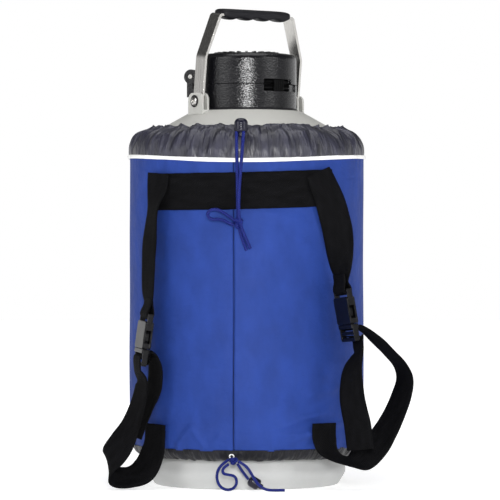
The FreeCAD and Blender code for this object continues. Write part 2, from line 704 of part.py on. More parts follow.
def make_pivots():
    """Pivot bolts, their nuts and the washers beside the arms, one set on each side."""
    inner, outer = DIMENSIONS["bracket_inner"], DIMENSIONS["bracket_outer"]
    plate, strip = DIMENSIONS["bracket_plate"], DIMENSIONS["strip_thickness"]
    height, radius = DIMENSIONS["pivot_height"], DIMENSIONS["bolt_radius"]
    arm = DIMENSIONS["arm_foot"]
    nut_thick, nut_corner, head_radius = 3.6, 6.9, DIMENSIONS["bolt_head_radius"]
    dome_radius, dome_rise, socket_radius, washer_radius = 10.5, 4, 2.4, 8
    out = VECTOR(1, 0, 0)
    shank = Part.makeCylinder(radius, outer - inner + nut_thick + 0.5,
                              VECTOR(inner - nut_thick - 0.5, 0, height), out)
    seat = outer + 0.05
    head = Part.makeSphere(dome_radius, VECTOR(seat + dome_rise - dome_radius, 0, height))
    head = head.common(Part.makeCylinder(head_radius, 20, VECTOR(seat, 0, height), out))
    socket = Part.makeCylinder(socket_radius, 3, VECTOR(outer + 2.2, 0, height), out)
    bolt = shank.fuse(head.cut(socket)).removeSplitter()
    corners = []
    for number in range(7):
        angle = math.radians(60 * number)
        corners.append(VECTOR(inner - nut_thick - 0.05, nut_corner * math.sin(angle),
                              height + nut_corner * math.cos(angle)))
    nut = Part.Face(Part.makePolygon(corners)).extrude(out * nut_thick)
    nut = nut.cut(Part.makeCylinder(radius + 0.02, 30, VECTOR(inner - 15, 0, height), out))
    washers = []
    for start, end in ((inner + plate + 0.1, arm - strip - 0.1), (arm + 0.1, outer - plate - 0.1)):
        ring = Part.makeCylinder(washer_radius, end - start, VECTOR(start, 0, height), out)
        hole = Part.makeCylinder(radius + 0.1, outer, VECTOR(0, 0, height), out)
        washers.append(ring.cut(hole))
    turn = DIMENSIONS["handle_turn"]
    for label, shapes in (("pivot_bolts", [bolt]), ("pivot_nuts", [nut]),
                          ("pivot_washers", washers)):
        both = []
        for angle in (turn, turn + 180):
            for shape in shapes:
                copy = shape.copy()
                copy.rotate(VECTOR(0, 0, 0), UP, angle)
                both.append(copy)
        keep(feature(label, Part.makeCompound(both)))


# Fabric cover --------------------------------------------------------------------------------

def make_cover():
    """Blue sleeve, gathered hood and hem, white piping and the webbing band across the back."""
    lower = D.cover_inner - 4.4
    turned_part("cover_sleeve", [
        (lower + 1.7, D.sleeve_low), (D.cover_radius, 72, 40), (D.cover_radius, D.sleeve_high),
        (D.cover_inner, D.sleeve_high), (D.cover_inner, 66, 38), (lower, D.sleeve_low)])
    turned_part("cover_hem", [
        (lower + 1.7, D.sleeve_low - 0.4), (133, 36.5), (131, 37.5),
        (lower - 0.2, D.sleeve_low - 0.4)])
    turned_part("cover_hood", [
        (D.cover_radius, D.hood_low), (D.cover_radius, 426, 12), (143.5, 446.5, 12),
        (124.5, 458.5, 2), (120.5, 457), (121.5, 453.4), (142.2, 444.2), (149.7, 424.5),
        (149.7, D.hood_low)])
    piping = DOC.addObject("Part::Torus", "cover_piping")
    bind(piping, "Radius1", D.piping_ring)
    bind(piping, "Radius2", D.piping_radius)
    piping.Placement = FreeCAD.Placement(VECTOR(0, 0, DIMENSIONS["piping_height"]),
                                         FreeCAD.Rotation())
    piping.setExpression("Placement.Base.z", D.piping_height.formula)
    keep(piping)
    band = new_body("back_band")
    spin(band, outline(band, "profile", "XZ_Plane", [
        (D.band_inner, D.band_low), (D.band_outer, D.band_low), (D.band_outer, D.band_high),
        (D.band_inner, D.band_high)]), angle=D.band_sweep)
    band.Placement = turn_about_z(DIMENSIONS["band_from"] - 90)
    keep(band)


# Straps and buckles --------------------------------------------------------------------------

def ribbon(stations, width, thickness):
    """Webbing lofted through its stations, each a centre and the direction across the strap."""
    centres = [VECTOR(*centre) for centre, _ in stations]
    wires = []
    for i, (_, across) in enumerate(stations):
        ahead = centres[min(i + 1, len(centres) - 1)] - centres[max(i - 1, 0)]
        ahead.normalize()
        side = VECTOR(*across)
        side = (side - ahead * side.dot(ahead)).normalize() * (width / 2)
        thick = ahead.cross(side).normalize() * (thickness / 2)
        corners = [centres[i] + side + thick, centres[i] - side + thick,
                   centres[i] - side - thick, centres[i] + side - thick]
        wires.append(Part.makePolygon(corners + corners[:1]))
    return Part.makeLoft(wires, True, True)


LEFT_BUCKLE = {"mouth": (-130.4, -113, 177.7), "across": (0.26, -0.966, 0),
               "down": (-0.14, 0, -0.99)}
RIGHT_BUCKLE = {"mouth": (126.9, -129, 208.2), "across": (0.36, -0.93, 0),
                "down": (0.166, 0, -0.986)}

# Each station is the strap's centre, then the direction across it, towards its outer edge.
STRAPS = {
    "left_upper_strap": [
        ((-110.5, -109, 397), (0.70, -0.71, 0)), ((-112, -108.5, 378), (0.66, -0.75, 0)),
        ((-117.5, -110, 351), (0.36, -0.93, 0)), ((-121.3, -109, 313), (0.46, -0.89, 0)),
        ((-122.6, -109.5, 288), (0.45, -0.89, 0)), ((-123.4, -111, 250), (0.40, -0.92, 0)),
        ((-124.1, -113, 223.3), (0.26, -0.966, 0))],
    "left_lower_strap": [
        ((-133.7, -113, 154), (0.26, -0.966, 0)), ((-134.8, -115, 135), (0.40, -0.92, 0)),
        ((-136.5, -119, 112), (0.50, -0.86, 0)), ((-144, -124, 84), (0.57, -0.78, -0.2)),
        ((-157, -128, 58), (0.55, -0.50, -0.65)), ((-169.5, -124, 39), (0.15, -0.30, -0.95)),
        ((-171.5, -116, 24), (0.1, -0.5, -0.86)), ((-163, -110, 16), (0.1, -0.72, -0.68)),
        ((-146, -107, 15.5), (0.15, -0.76, -0.62)), ((-129, -106.5, 24), (0.45, -0.55, -0.7)),
        ((-119, -105, 43), (0.70, -0.6, -0.3)), ((-115, -104, 62), (0.68, -0.73, 0)),
        ((-114.5, -104.5, 82), (0.67, -0.74, 0))],
    "left_strap_tail": [
        ((-122.8, -111, 171), (0.26, -0.966, 0)), ((-117, -112, 160), (0.35, -0.93, 0)),
        ((-114.5, -113, 147), (0.45, -0.89, 0)), ((-114.8, -113.5, 133), (0.50, -0.86, 0)),
        ((-118.5, -113, 119), (0.50, -0.86, 0)), ((-125.5, -113, 104), (0.50, -0.86, 0)),
        ((-134, -114, 83), (0.50, -0.86, 0)), ((-140, -115, 66), (0.50, -0.86, 0))],
    "right_upper_strap": [
        ((89.8, -127.2, 398), (0.82, 0.57, 0)), ((96.5, -125.5, 382), (0.88, 0.40, 0)),
        ((104.8, -125, 361), (0.95, 0.22, 0)), ((113.3, -123.5, 328), (0.97, -0.12, 0)),
        ((116.7, -125.5, 302), (0.87, -0.46, 0)), ((118.3, -128, 279), (0.66, -0.75, 0)),
        ((119.4, -129, 253.6), (0.36, -0.93, 0))],
    "right_lower_strap": [
        ((137, -126, 203), (0.30, -0.95, 0)), ((150, -122, 199), (0.25, -0.96, 0.1)),
        ((165, -116, 186), (0.25, -0.95, 0.2)), ((180, -111, 171), (0.25, -0.95, 0.2)),
        ((193, -107, 156), (0.35, -0.92, 0.15)), ((199, -105, 139), (0.50, -0.86, 0.05)),
        ((195, -106, 119), (0.60, -0.80, -0.1)), ((186, -108, 96), (0.62, -0.75, -0.2)),
        ((174, -111, 73), (0.62, -0.65, -0.35)), ((160, -115, 53), (0.50, -0.52, -0.65)),
        ((145, -119, 40), (0.30, -0.55, -0.75)), ((130, -122.5, 36), (0.05, -0.93, -0.3)),
        ((114, -123, 41), (-0.40, -0.9, -0.1)), ((102.5, -122, 51.5), (-0.70, -0.70, 0)),
        ((97.5, -121.5, 66), (-0.78, -0.62, 0)), ((97.5, -121.5, 84), (-0.78, -0.62, 0))],
    "right_strap_tail": [
        ((138.5, -127, 189), (0.30, -0.95, 0)), ((140, -131, 178), (0.20, -0.97, 0)),
        ((137, -135, 167), (0.35, -0.93, 0)), ((132.5, -138, 153), (0.55, -0.82, 0)),
        ((131, -140, 138), (0.68, -0.72, 0)), ((132, -142, 114), (0.80, -0.60, 0)),
        ((138, -143, 84), (0.85, -0.50, 0)), ((142, -143, 52), (0.85, -0.50, 0))],
}


def make_straps():
    """Shoulder straps: on each side the upper strap, the lower strap and its loose tail."""
    for label, stations in STRAPS.items():
        shape = ribbon(stations, DIMENSIONS["strap_width"], DIMENSIONS["strap_thickness"])
        keep(feature(label, shape))


def make_socket(side, place):
    """Buckle socket: a flat shell open at its mouth, with side windows and a webbing slot."""
    half = D.buckle_width * 0.5
    body = new_body(f"{side}_buckle_socket")
    push(body, outline(body, "face", "XZ_Plane", [
        (-half, 0), (half, 0), (half, D.socket_length, 4), (-half, D.socket_length, 4)]),
        D.buckle_thickness, both=True)
    cavity = outline(body, "cavity", "XY_Plane", [
        (-D.cavity_half, -D.cavity_thickness * 0.5), (D.cavity_half, -D.cavity_thickness * 0.5),
        (D.cavity_half, D.cavity_thickness * 0.5), (-D.cavity_half, D.cavity_thickness * 0.5)])
    push(body, cavity, D.cavity_depth, cut=True, reverse=True)
    window_half, window_low, window_high, slot_low, slot_high = 3.2, 7, 23, 34, 39.5
    window = outline(body, "window", "YZ_Plane", [
        (-window_half, window_low), (window_half, window_low), (window_half, window_high),
        (-window_half, window_high)])
    push(body, window, D.buckle_width * 2, cut=True, both=True)
    slot_half = D.strap_width * 0.5 + 0.8
    slot = outline(body, "webbing_slot", "XZ_Plane", [
        (-slot_half, slot_low), (slot_half, slot_low), (slot_half, slot_high),
        (-slot_half, slot_high)])
    push(body, slot, D.buckle_thickness * 2, cut=True, both=True)
    body.Placement = place
    return keep(body)


def make_plug(side, place):
    """Buckle plug: a slotted base for the webbing, two side prongs and a centre guide."""
    half, mouth_gap, prong_base = D.buckle_width * 0.5, 0.4, -3
    body = new_body(f"{side}_buckle_plug")
    push(body, outline(body, "face", "XZ_Plane", [
        (-half, -D.plug_length, 8), (half, -D.plug_length, 8), (half, -mouth_gap),
        (-half, -mouth_gap)]), D.buckle_thickness - 1, both=True)
    for name, start, end in (("left_prong", -17.4, -10), ("guide", -3.5, 3.5),
                             ("right_prong", 10, 17.4)):
        bar = outline(body, name, "XZ_Plane", [
            (start, prong_base), (end, prong_base), (end, D.prong_length),
            (start, D.prong_length)])
        push(body, bar, D.cavity_thickness - 1, both=True)
    slot_half = D.strap_width * 0.5 + 0.6
    for name, low, high in (("slot_near", -9.5, -6), ("slot_far", -17.5, -14)):
        slot = outline(body, name, "XZ_Plane", [
            (-slot_half, low), (slot_half, low), (slot_half, high), (-slot_half, high)])
        push(body, slot, D.buckle_thickness * 2, cut=True, both=True)
    body.Placement = place
    return keep(body)


def make_buckles():
    for side, buckle in (("left", LEFT_BUCKLE), ("right", RIGHT_BUCKLE)):
        place = frame_placement(buckle["mouth"], buckle["across"], buckle["down"])
        make_socket(side, place)
        make_plug(side, place)


# Drawcords -----------------------------------------------------------------------------------

def bend_radius(route, i):
    """Radius of the arc at a point: 0.45 of the shorter run, over the tangent of half the turn."""
    back, on = route[i] - route[i - 1], route[i + 1] - route[i]
    half_turn = math.tan(back.getAngle(on) / 2)
    return 0.45 * min(back.Length, on.Length) / half_turn


def tube(route, radius, bend=None):
    """Round tube along straight runs joined by tangent arcs."""
    edges, start = [], route[0]
    for i in range(1, len(route) - 1):
        turn = bend or bend_radius(route, i)
        entry, middle, leave = rounding(route[i - 1], route[i], route[i + 1], turn)
        edges.append(Part.LineSegment(start, entry).toShape())
        edges.append(Part.Arc(entry, middle, leave).toShape())
        start = leave
    edges.append(Part.LineSegment(start, route[-1]).toShape())
    path = Part.Wire(edges)
    ring = Part.Wire(Part.Circle(route[0], route[1] - route[0], radius).toShape())
    solid = path.makePipeShell([ring], True, False)
    expected = math.pi * radius ** 2 * path.Length
    if abs(solid.Volume - expected) > 0.02 * expected:
        raise RuntimeError(f"tube volume {solid.Volume:.0f} is not {expected:.0f}")
    return solid


# Points of each cord's route, in order from where it leaves its lock or knot.
CORDS = {
    "top_cord_left": [
        (-12.2, -155.4, 447.6), (-12.2, -157.8, 435), (-11.8, -159.4, 418), (-11.4, -159, 398),
        (-11, -157.6, 377), (-10.8, -156.8, 358), (-10.8, -156.4, 341), (-8.8, -156.2, 326),
        (-4.4, -155.8, 312), (0.4, -155.4, 300)],
    "top_cord_right": [
        (-3.4, -157.6, 447.6), (-4.4, -159.4, 435), (-5.6, -160.9, 418), (-7.2, -161.6, 398),
        (-8.8, -161.8, 378), (-9.6, -161.4, 359), (-9.4, -160.8, 342), (-5.8, -159.6, 327),
        (-0.2, -157.8, 314), (5, -156, 302.5)],
    "top_cord_bow": [
        (-14.8, -158.6, 337.6), (-24, -158.2, 344), (-33, -157.6, 350), (-43, -156.8, 351.4),
        (-49.4, -156, 345.4), (-44, -155.8, 338), (-33, -156.4, 339.4), (-22, -157.6, 334.6),
        (-15.4, -158.6, 331)],
    "bottom_cord_loop": [
        (-22, -147, 40), (-32, -145, 33.5), (-37.4, -142.5, 21.5), (-35.4, -141.5, 9.5),
        (-28.2, -141.5, 2.3), (-17.6, -142, 2.3), (-11.6, -143, 9.4), (-13.2, -145.5, 19),
        (-21.6, -147.5, 21.4), (-29.4, -149.5, 22.6), (-29.4, -150, 30.2), (-21.8, -149, 34.6)],
    "bottom_cord_feed": [
        (-11.2, -146, 35), (-6.4, -145.6, 27.6), (-1.2, -144.6, 20.4), (2.6, -143.6, 15.4)],
    "bottom_cord_tail": [
        (-9.8, -148.4, 38), (-0.6, -150.4, 33.4), (6.6, -152.4, 22.4), (13.6, -153.6, 10.4),
        (22.6, -153.8, 3.4), (34, -152.8, 2.2), (47.6, -151, 2.4)],
}
BOTTOM_CORD_RADIUS = 1.8


def make_cords():
    """The drawcords' visible lengths: two strands and a bow above, a loop and two strands below."""
    for label, points in CORDS.items():
        route = [VECTOR(*point) for point in points]
        top = label.startswith("top")
        radius = DIMENSIONS["cord_diameter"] / 2 if top else BOTTOM_CORD_RADIUS
        radii = [round(bend_radius(route, i), 1) for i in range(1, len(route) - 1)]
        solid = tube(route, radius)
        print(label, "bend radii", radii, "length", round(solid.Volume / math.pi / radius ** 2))
        keep(feature(label, solid))


def make_knots():
    """The tied knots as plain rounded lumps, each by its centre and its half sizes."""
    for label, centre, size in (("top_cord_knot", (-10.2, -158.6, 334), (7, 6, 8)),
                                ("bottom_cord_knot", (-16.2, -147.4, 38.6), (6.4, 4.6, 5.4))):
        ball = Part.makeSphere(1)
        stretch = FreeCAD.Matrix()
        stretch.scale(VECTOR(*size))
        lump = ball.transformGeometry(stretch)
        keep(feature(label, lump, FreeCAD.Placement(VECTOR(*centre), FreeCAD.Rotation())))


def spring(radius, wire, low, high, turns):
    """Closed coil of round wire between two heights on the Z axis."""
    coil = Part.makeHelix((high - low) / turns, high - low, radius)
    coil.translate(UP * low)
    ring = Part.Wire(Part.Circle(VECTOR(radius, 0, low), VECTOR(0, 1, 0), wire).toShape())
    return Part.Wire(coil.Edges).makePipeShell([ring], True, True)


def make_lock(side, scale, place):
    """Cord lock: a rounded barrel, the sprung button in its bore and the spring behind it."""
    coil_radius, wire, turns = 2.4 * scale, 0.5 * scale, 3
    coil_low, coil_high = -1.3 * scale, 3.3 * scale
    radius = D.lock_radius * scale
    bore = (D.lock_button_radius + 0.3) * scale
    stem = D.lock_button_radius * scale
    barrel = turned_part(f"{side}_lock_barrel", [
        (0, scale * 9), (radius, scale * 9, scale * 6), (radius, scale * -9, scale * 4),
        (bore, scale * -9), (bore, scale * 4), (0, scale * 4)])
    button = turned_part(f"{side}_lock_button", [
        (0, scale * -2), (stem, scale * -2), (stem, scale * -14, scale * 1.5), (0, scale * -14)])
    coil = spring(coil_radius, wire, coil_low, coil_high, turns)
    barrel.Placement = place
    button.Placement = place
    keep(feature(f"{side}_lock_spring", coil, place))


def make_locks():
    make_lock("top", 1, frame_placement((-6.6, -151.5, 455), (1, 0, 0), (0, -0.1, -1)))
    make_lock("bottom", DIMENSIONS["small_lock_scale"],
              frame_placement((9.6, -143.2, 11.2), (0, -1, 0), (0.86, 0, -0.5)))


# Writing -------------------------------------------------------------------------------------

def write_parts():
    """Check every object, then write each sub-part's shape to its own file."""
    DOC.recompute()
    for thing in DOC.Objects:
        if "Invalid" in thing.State or "Error" in thing.State:
            raise RuntimeError(f"{thing.Label} is {thing.State}")
    for node in NODES:
        shape = node.Shape
        if shape.isNull() or not shape.isValid() or not shape.Solids:
            raise RuntimeError(f"{node.Label} has no valid shape")
    os.makedirs("parts", exist_ok=True)
    for node in NODES:
        node.Shape.exportStep(f"parts/{node.Label}.step")
    print(len(NODES), "sub-parts written")


def build():
    DOC.recompute()
    make_outer_shell()
    make_foot()
    make_vacuum_port()
    make_inner_vessel()
    make_neck_ring()
    make_spider()
    make_canisters()
    make_neck_plug()
    make_cap()
    make_latch()
    make_gasket_and_screws()
    make_bail()
    make_grip()
    make_bracket("right", 0)
    make_bracket("left", 180)
    make_pivots()
    make_cover()
    make_straps()
    make_buckles()
    make_cords()
    make_knots()
    make_locks()
    write_parts()


build()
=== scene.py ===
"""Looks of the liquid nitrogen dewar in its backpack cover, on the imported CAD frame.

Metres, +Z up, and the front of the cover faces -Y. A turn is an angle round the vessel, in
degrees from the front towards +X.
"""
import json
import math

import bmesh
import bpy
from mathutils import Matrix, Vector, noise


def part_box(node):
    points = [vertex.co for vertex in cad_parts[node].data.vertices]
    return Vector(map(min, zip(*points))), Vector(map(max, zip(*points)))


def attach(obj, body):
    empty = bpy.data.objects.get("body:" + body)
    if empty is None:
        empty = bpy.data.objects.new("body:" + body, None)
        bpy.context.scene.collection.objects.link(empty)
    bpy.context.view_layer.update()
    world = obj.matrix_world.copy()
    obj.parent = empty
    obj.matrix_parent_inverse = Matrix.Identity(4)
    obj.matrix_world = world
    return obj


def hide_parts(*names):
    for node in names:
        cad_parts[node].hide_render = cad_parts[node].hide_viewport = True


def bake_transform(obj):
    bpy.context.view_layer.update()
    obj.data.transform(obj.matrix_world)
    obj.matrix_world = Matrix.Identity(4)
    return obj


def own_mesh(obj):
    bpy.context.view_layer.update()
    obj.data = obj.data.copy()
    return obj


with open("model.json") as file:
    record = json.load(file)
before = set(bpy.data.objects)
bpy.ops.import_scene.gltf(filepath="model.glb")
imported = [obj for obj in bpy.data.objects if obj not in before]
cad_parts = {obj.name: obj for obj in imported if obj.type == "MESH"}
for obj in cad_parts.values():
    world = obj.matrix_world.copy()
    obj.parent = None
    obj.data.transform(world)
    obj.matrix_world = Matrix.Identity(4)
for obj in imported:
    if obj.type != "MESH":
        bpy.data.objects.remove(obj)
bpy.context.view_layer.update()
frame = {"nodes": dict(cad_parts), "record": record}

MM = 0.001
UP = Vector((0, 0, 1))
NODES = frame["nodes"]

# Sizes read from the frame ---------------------------------------------------------------------
SLEEVE_LOW, SLEEVE_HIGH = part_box("cover_sleeve")
COVER_RADIUS = SLEEVE_HIGH.x
SEAM_HEIGHT = (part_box("cover_piping")[0].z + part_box("cover_piping")[1].z) / 2
HOOD_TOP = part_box("cover_hood")[1].z
BAND_LOW, BAND_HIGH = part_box("back_band")
GRIP_LOW, GRIP_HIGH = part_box("handle_grip")

# How the CAD model turns and leans the handle, and the turn of the sleeve's front seam ---------
HANDLE_TURN, HANDLE_LEAN = math.radians(35), math.radians(7)
HANDLE_ALONG = Vector((math.cos(HANDLE_TURN), math.sin(HANDLE_TURN), 0))
SEAM_TURN = -6.1


# Geometry helpers ------------------------------------------------------------------------------

def place(turn, radius, height):
    """Point at a turn round the vessel, a radius and a height."""
    angle = math.radians(turn)
    return Vector((radius * math.sin(angle), -radius * math.cos(angle), height))


def ripple(turn, height, around, upward, seed=0.0):
    """Smooth noise from -1 to 1 on the vessel's side, with so many waves around and per metre."""
    angle = math.radians(turn)
    reach = around / (2 * math.pi)
    return noise.noise(Vector((math.sin(angle) * reach + seed, math.cos(angle) * reach,
                               height * upward + seed)))


def smooth_step(low, high, value):
    """Ease from 0 to 1 as a value goes from low to high."""
    share = min(max((value - low) / (high - low), 0), 1)
    return share * share * (3 - 2 * share)


def curve_through(values, share):
    """Value at a share (0 to 1) of a list of evenly spread values, along a smooth curve."""
    span = share * (len(values) - 1)
    i = min(int(span), len(values) - 2)
    t = span - i
    before, start = values[max(i - 1, 0)], values[i]
    end, after = values[i + 1], values[min(i + 2, len(values) - 1)]
    return 0.5 * (2 * start + (end - before) * t
                  + (2 * before - 5 * start + 4 * end - after) * t * t
                  + (3 * start - before - 3 * end + after) * t * t * t)


def grid_faces(rows, columns, closed):
    """Faces of a grid of points, row by row, that may close on itself along each row."""
    faces = []
    for row in range(rows - 1):
        for column in range(columns if closed else columns - 1):
            beside = (column + 1) % columns
            faces.append((row * columns + column, row * columns + beside,
                          (row + 1) * columns + beside, (row + 1) * columns + column))
    return faces


def tube_faces(rows, ring):
    """Faces of a closed tube: rings of points, row by row, with a cap at each end."""
    faces = grid_faces(rows, ring, closed=True)
    faces.append(tuple(range(ring))[::-1])
    faces.append(tuple(range((rows - 1) * ring, rows * ring)))
    return faces


def hoop_faces(rows, ring):
    """Faces of a tube that closes on itself both ways."""
    faces = []
    for row in range(rows):
        beside = (row + 1) % rows
        for step in range(ring):
            after = (step + 1) % ring
            faces.append((row * ring + step, beside * ring + step,
                          beside * ring + after, row * ring + after))
    return faces


def thicken(obj, depth):
    """Give a one-sided sheet a thickness, inwards."""
    solid = obj.modifiers.new("thickness", "SOLIDIFY")
    solid.thickness = depth
    solid.offset = -1


def add_object(name, data):
    """Object of a mesh, curve, light or camera, put in the scene."""
    obj = bpy.data.objects.new(name, data)
    bpy.context.scene.collection.objects.link(obj)
    return obj


def add_mesh(name, points, faces, material, uvs=None):
    """Smooth-shaded mesh object from points and faces."""
    mesh = bpy.data.meshes.new(name)
    mesh.from_pydata([tuple(point) for point in points], [], faces)
    mesh.materials.append(material)
    mesh.polygons.foreach_set("use_smooth", [True] * len(mesh.polygons))
    if uvs:
        layer = mesh.uv_layers.new(name="UVMap")
        for loop in mesh.loops:
            layer.data[loop.index].uv = uvs[loop.vertex_index]
    mesh.update()
    return add_object(name, mesh)


def settle(obj, body, slot, *nodes):
    """Let a piece ride on a body and hide the CAD nodes it stands for; the slot is not used."""
    if body:
        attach(obj, body)
    if nodes:
        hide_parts(*nodes)
    return obj


# Materials -------------------------------------------------------------------------------------

class Shader:
    """A procedural material built from a few chained nodes."""

    def __init__(self, name, color, roughness, metallic=0.0, **settings):
        self.material = bpy.data.materials.new(name)
        self.material.use_nodes = True
        self.tree = self.material.node_tree
        self.surface = self.tree.nodes["Principled BSDF"]
        self.color = color
        self.bump_from = None
        self.surface.inputs["Base Color"].default_value = (*color, 1)
        self.surface.inputs["Roughness"].default_value = roughness
        self.surface.inputs["Metallic"].default_value = metallic
        for socket, value in settings.items():
            self.surface.inputs[socket.replace("_", " ")].default_value = value
        self.coordinates = self.tree.nodes.new("ShaderNodeTexCoord")

    def join(self, source, target):
        """Link one socket to another."""
        self.tree.links.new(source, target)

    def mapped(self, scale, output="Object", turn=(0, 0, 0)):
        """Texture coordinates in metres, scaled along each axis."""
        mapping = self.tree.nodes.new("ShaderNodeMapping")
        mapping.inputs["Scale"].default_value = scale
        mapping.inputs["Rotation"].default_value = turn
        self.join(self.coordinates.outputs[output], mapping.inputs["Vector"])
        return mapping.outputs["Vector"]

    def noise(self, scale, detail=3.0, output="Object"):
        """Value of a noise texture with its own scale along each axis, per metre."""
        texture = self.tree.nodes.new("ShaderNodeTexNoise")
        texture.inputs["Scale"].default_value = 1
        texture.inputs["Detail"].default_value = detail
        self.join(self.mapped(scale, output), texture.inputs["Vector"])
        return texture.outputs["Fac"]

    def waves(self, scale, direction="X", output="Object", turn=(0, 0, 0), distortion=0.0):
        """Value of even bands, so many per metre, crossing one axis."""
        texture = self.tree.nodes.new("ShaderNodeTexWave")
        texture.bands_direction = direction
        texture.inputs["Scale"].default_value = scale / 20 * 2 * math.pi
        texture.inputs["Distortion"].default_value = distortion
        self.join(self.mapped((1, 1, 1), output, turn), texture.inputs["Vector"])
        return texture.outputs["Fac"]

    def product(self, first, second):
        """One value times another."""
        node = self.tree.nodes.new("ShaderNodeMath")
        node.operation = "MULTIPLY"
        self.join(first, node.inputs[0])
        self.join(second, node.inputs[1])
        return node.outputs[0]

    def ramp(self, value, low, high, dark, light):
        """Colour that goes from one to another as a value goes from low to high."""
        node = self.tree.nodes.new("ShaderNodeValToRGB")
        first, last = node.color_ramp.elements
        first.position, last.position = low, high
        first.color, last.color = (*dark, 1), (*light, 1)
        self.join(value, node.inputs["Fac"])
        return node.outputs["Color"]

    def vary_color(self, value, spread, low=0.3, high=0.7):
        """Let the base colour run from darker to lighter with a value."""
        dark = [channel * (1 - spread) for channel in self.color]
        light = [channel * (1 + spread) for channel in self.color]
        self.join(self.ramp(value, low, high, dark, light), self.surface.inputs["Base Color"])

    def vary_roughness(self, value, low, high):
        """Let the roughness run from low to high with a value."""
        node = self.tree.nodes.new("ShaderNodeMapRange")
        node.inputs["To Min"].default_value = low
        node.inputs["To Max"].default_value = high
        self.join(value, node.inputs["Value"])
        self.join(node.outputs["Result"], self.surface.inputs["Roughness"])

    def bump(self, value, depth, strength=1.0):
        """Raise the surface by a value times a depth in metres, on top of earlier bumps."""
        node = self.tree.nodes.new("ShaderNodeBump")
        node.inputs["Distance"].default_value = depth
        node.inputs["Strength"].default_value = strength
        self.join(value, node.inputs["Height"])
        if self.bump_from:
            self.join(self.bump_from, node.inputs["Normal"])
        self.bump_from = node.outputs["Normal"]
        self.join(self.bump_from, self.surface.inputs["Normal"])

    def soften_edges(self, radius):
        """Round sharp edges in the shading."""
        node = self.tree.nodes.new("ShaderNodeBevel")
        node.inputs["Radius"].default_value = radius
        self.bump_from = node.outputs["Normal"]
        self.join(self.bump_from, self.surface.inputs["Normal"])


def cloth_blue():
    """Coated plain-weave nylon, with soft blotches where the dye and the coating vary."""
    shader = Shader("nylon_blue", (0.0150, 0.040, 0.205), 0.62, Specular_IOR_Level=0.12)
    shader.vary_color(shader.noise((38, 38, 22), 5), 0.13)
    weave = shader.product(shader.waves(700, "X"), shader.waves(700, "Z"))
    shader.bump(weave, 0.00012, 0.6)
    shader.bump(shader.noise((420, 420, 420), 2), 0.0003, 0.5)
    shader.bump(shader.noise((60, 60, 40), 4), 0.0022, 0.7)
    shader.bump(shader.noise((14, 14, 34), 4), 0.006, 0.6)
    shader.vary_roughness(shader.noise((50, 50, 30), 3), 0.52, 0.72)
    return shader.material


def cloth_grey(name, color, shine):
    """Light crinkled nylon whose coating catches the light along its creases, with its colour
    painted darker in the hollows of its folds and lighter on their ridges: painted shade and
    highlight.
    """
    shader = Shader(name, color, 0.36, Specular_IOR_Level=shine)
    folds = shader.noise((66, 21, 1), 3, "UV")
    # The colour follows the fold height: painted shade in the hollows, painted highlight on the
    # ridges.
    shader.vary_color(folds, 0.5, 0.36, 0.64)
    shader.bump(folds, 0.011, 0.95)
    shader.bump(shader.noise((110, 110, 80), 5), 0.0012, 0.6)
    shader.bump(shader.waves(900, "X"), 0.00008, 0.5)
    shader.vary_roughness(shader.noise((140, 140, 90), 3), 0.32, 0.55)
    return shader.material


def webbing():
    """Black ribbed polypropylene webbing, from coordinates along and across each strap."""
    shader = Shader("webbing_black", (0.0036, 0.0036, 0.0042), 0.85, Specular_IOR_Level=0.05)
    shader.vary_color(shader.noise((150, 40, 1), 4, "UV"), 0.35)
    ribs = shader.waves(560, "Y", "UV", distortion=0.6)
    twill = shader.waves(420, "X", "UV", turn=(0, 0, math.radians(32)))
    shader.bump(shader.product(ribs, twill), 0.0005, 0.8)
    shader.bump(shader.noise((500, 500, 1), 2, "UV"), 0.0003, 0.6)
    return shader.material


def piping_cloth():
    """White bias tape round the piping cord."""
    shader = Shader("piping_white", (0.80, 0.80, 0.79), 0.6)
    shader.vary_color(shader.noise((60, 60, 60), 3), 0.07)
    shader.bump(shader.noise((160, 160, 90), 3), 0.0006, 0.6)
    shader.bump(shader.waves(800, "Z"), 0.0001, 0.6)
    return shader.material


def braid(name, color):
    """Braided drawcord, with crossing strands painted lighter on their crests and darker between
    them: painted highlight and shade.
    """
    shader = Shader(name, color, 0.55, Specular_IOR_Level=0.16)
    lean = math.radians(35)
    crossing = shader.product(shader.waves(420, "Z", turn=(0, lean, 0)),
                              shader.waves(420, "Z", turn=(0, -lean, 0)))
    # The colour follows the strand height: painted highlight on the crests, painted shade between
    # the strands.
    shader.vary_color(crossing, 0.3, 0.1, 0.7)
    shader.bump(crossing, 0.0006, 0.9)
    return shader.material


def grained_plastic(name, color, roughness, shine, grain, depth):
    """Moulded plastic with a cast grain, so many grains per metre and so deep."""
    shader = Shader(name, color, roughness, Specular_IOR_Level=shine)
    shader.soften_edges(0.0006)
    shader.vary_color(shader.noise((30, 30, 30), 4), 0.2)
    shader.bump(shader.noise((grain, grain, grain), 2), depth, 0.8)
    shader.vary_roughness(shader.noise((90, 90, 90), 3), roughness * 0.85, roughness * 1.15)
    return shader.material


def painted_shell():
    """Satin stoving paint with a light orange peel and a few duller patches."""
    shader = Shader("shell_paint", (0.43, 0.428, 0.405), 0.42)
    shader.soften_edges(0.0008)
    shader.vary_color(shader.noise((9, 9, 9), 5), 0.05)
    shader.bump(shader.noise((260, 260, 260), 2), 0.00018, 0.6)
    shader.vary_roughness(shader.noise((22, 22, 22), 4), 0.34, 0.52)
    return shader.material


def cast_foot():
    """Pale moulded foot, a little uneven from its mould."""
    shader = Shader("foot_plastic", (0.43, 0.435, 0.43), 0.48)
    shader.vary_color(shader.noise((14, 14, 26), 5), 0.06)
    shader.bump(shader.noise((35, 35, 50), 4), 0.0022, 0.5)
    shader.bump(shader.noise((420, 420, 420), 2), 0.0002, 0.5)
    return shader.material


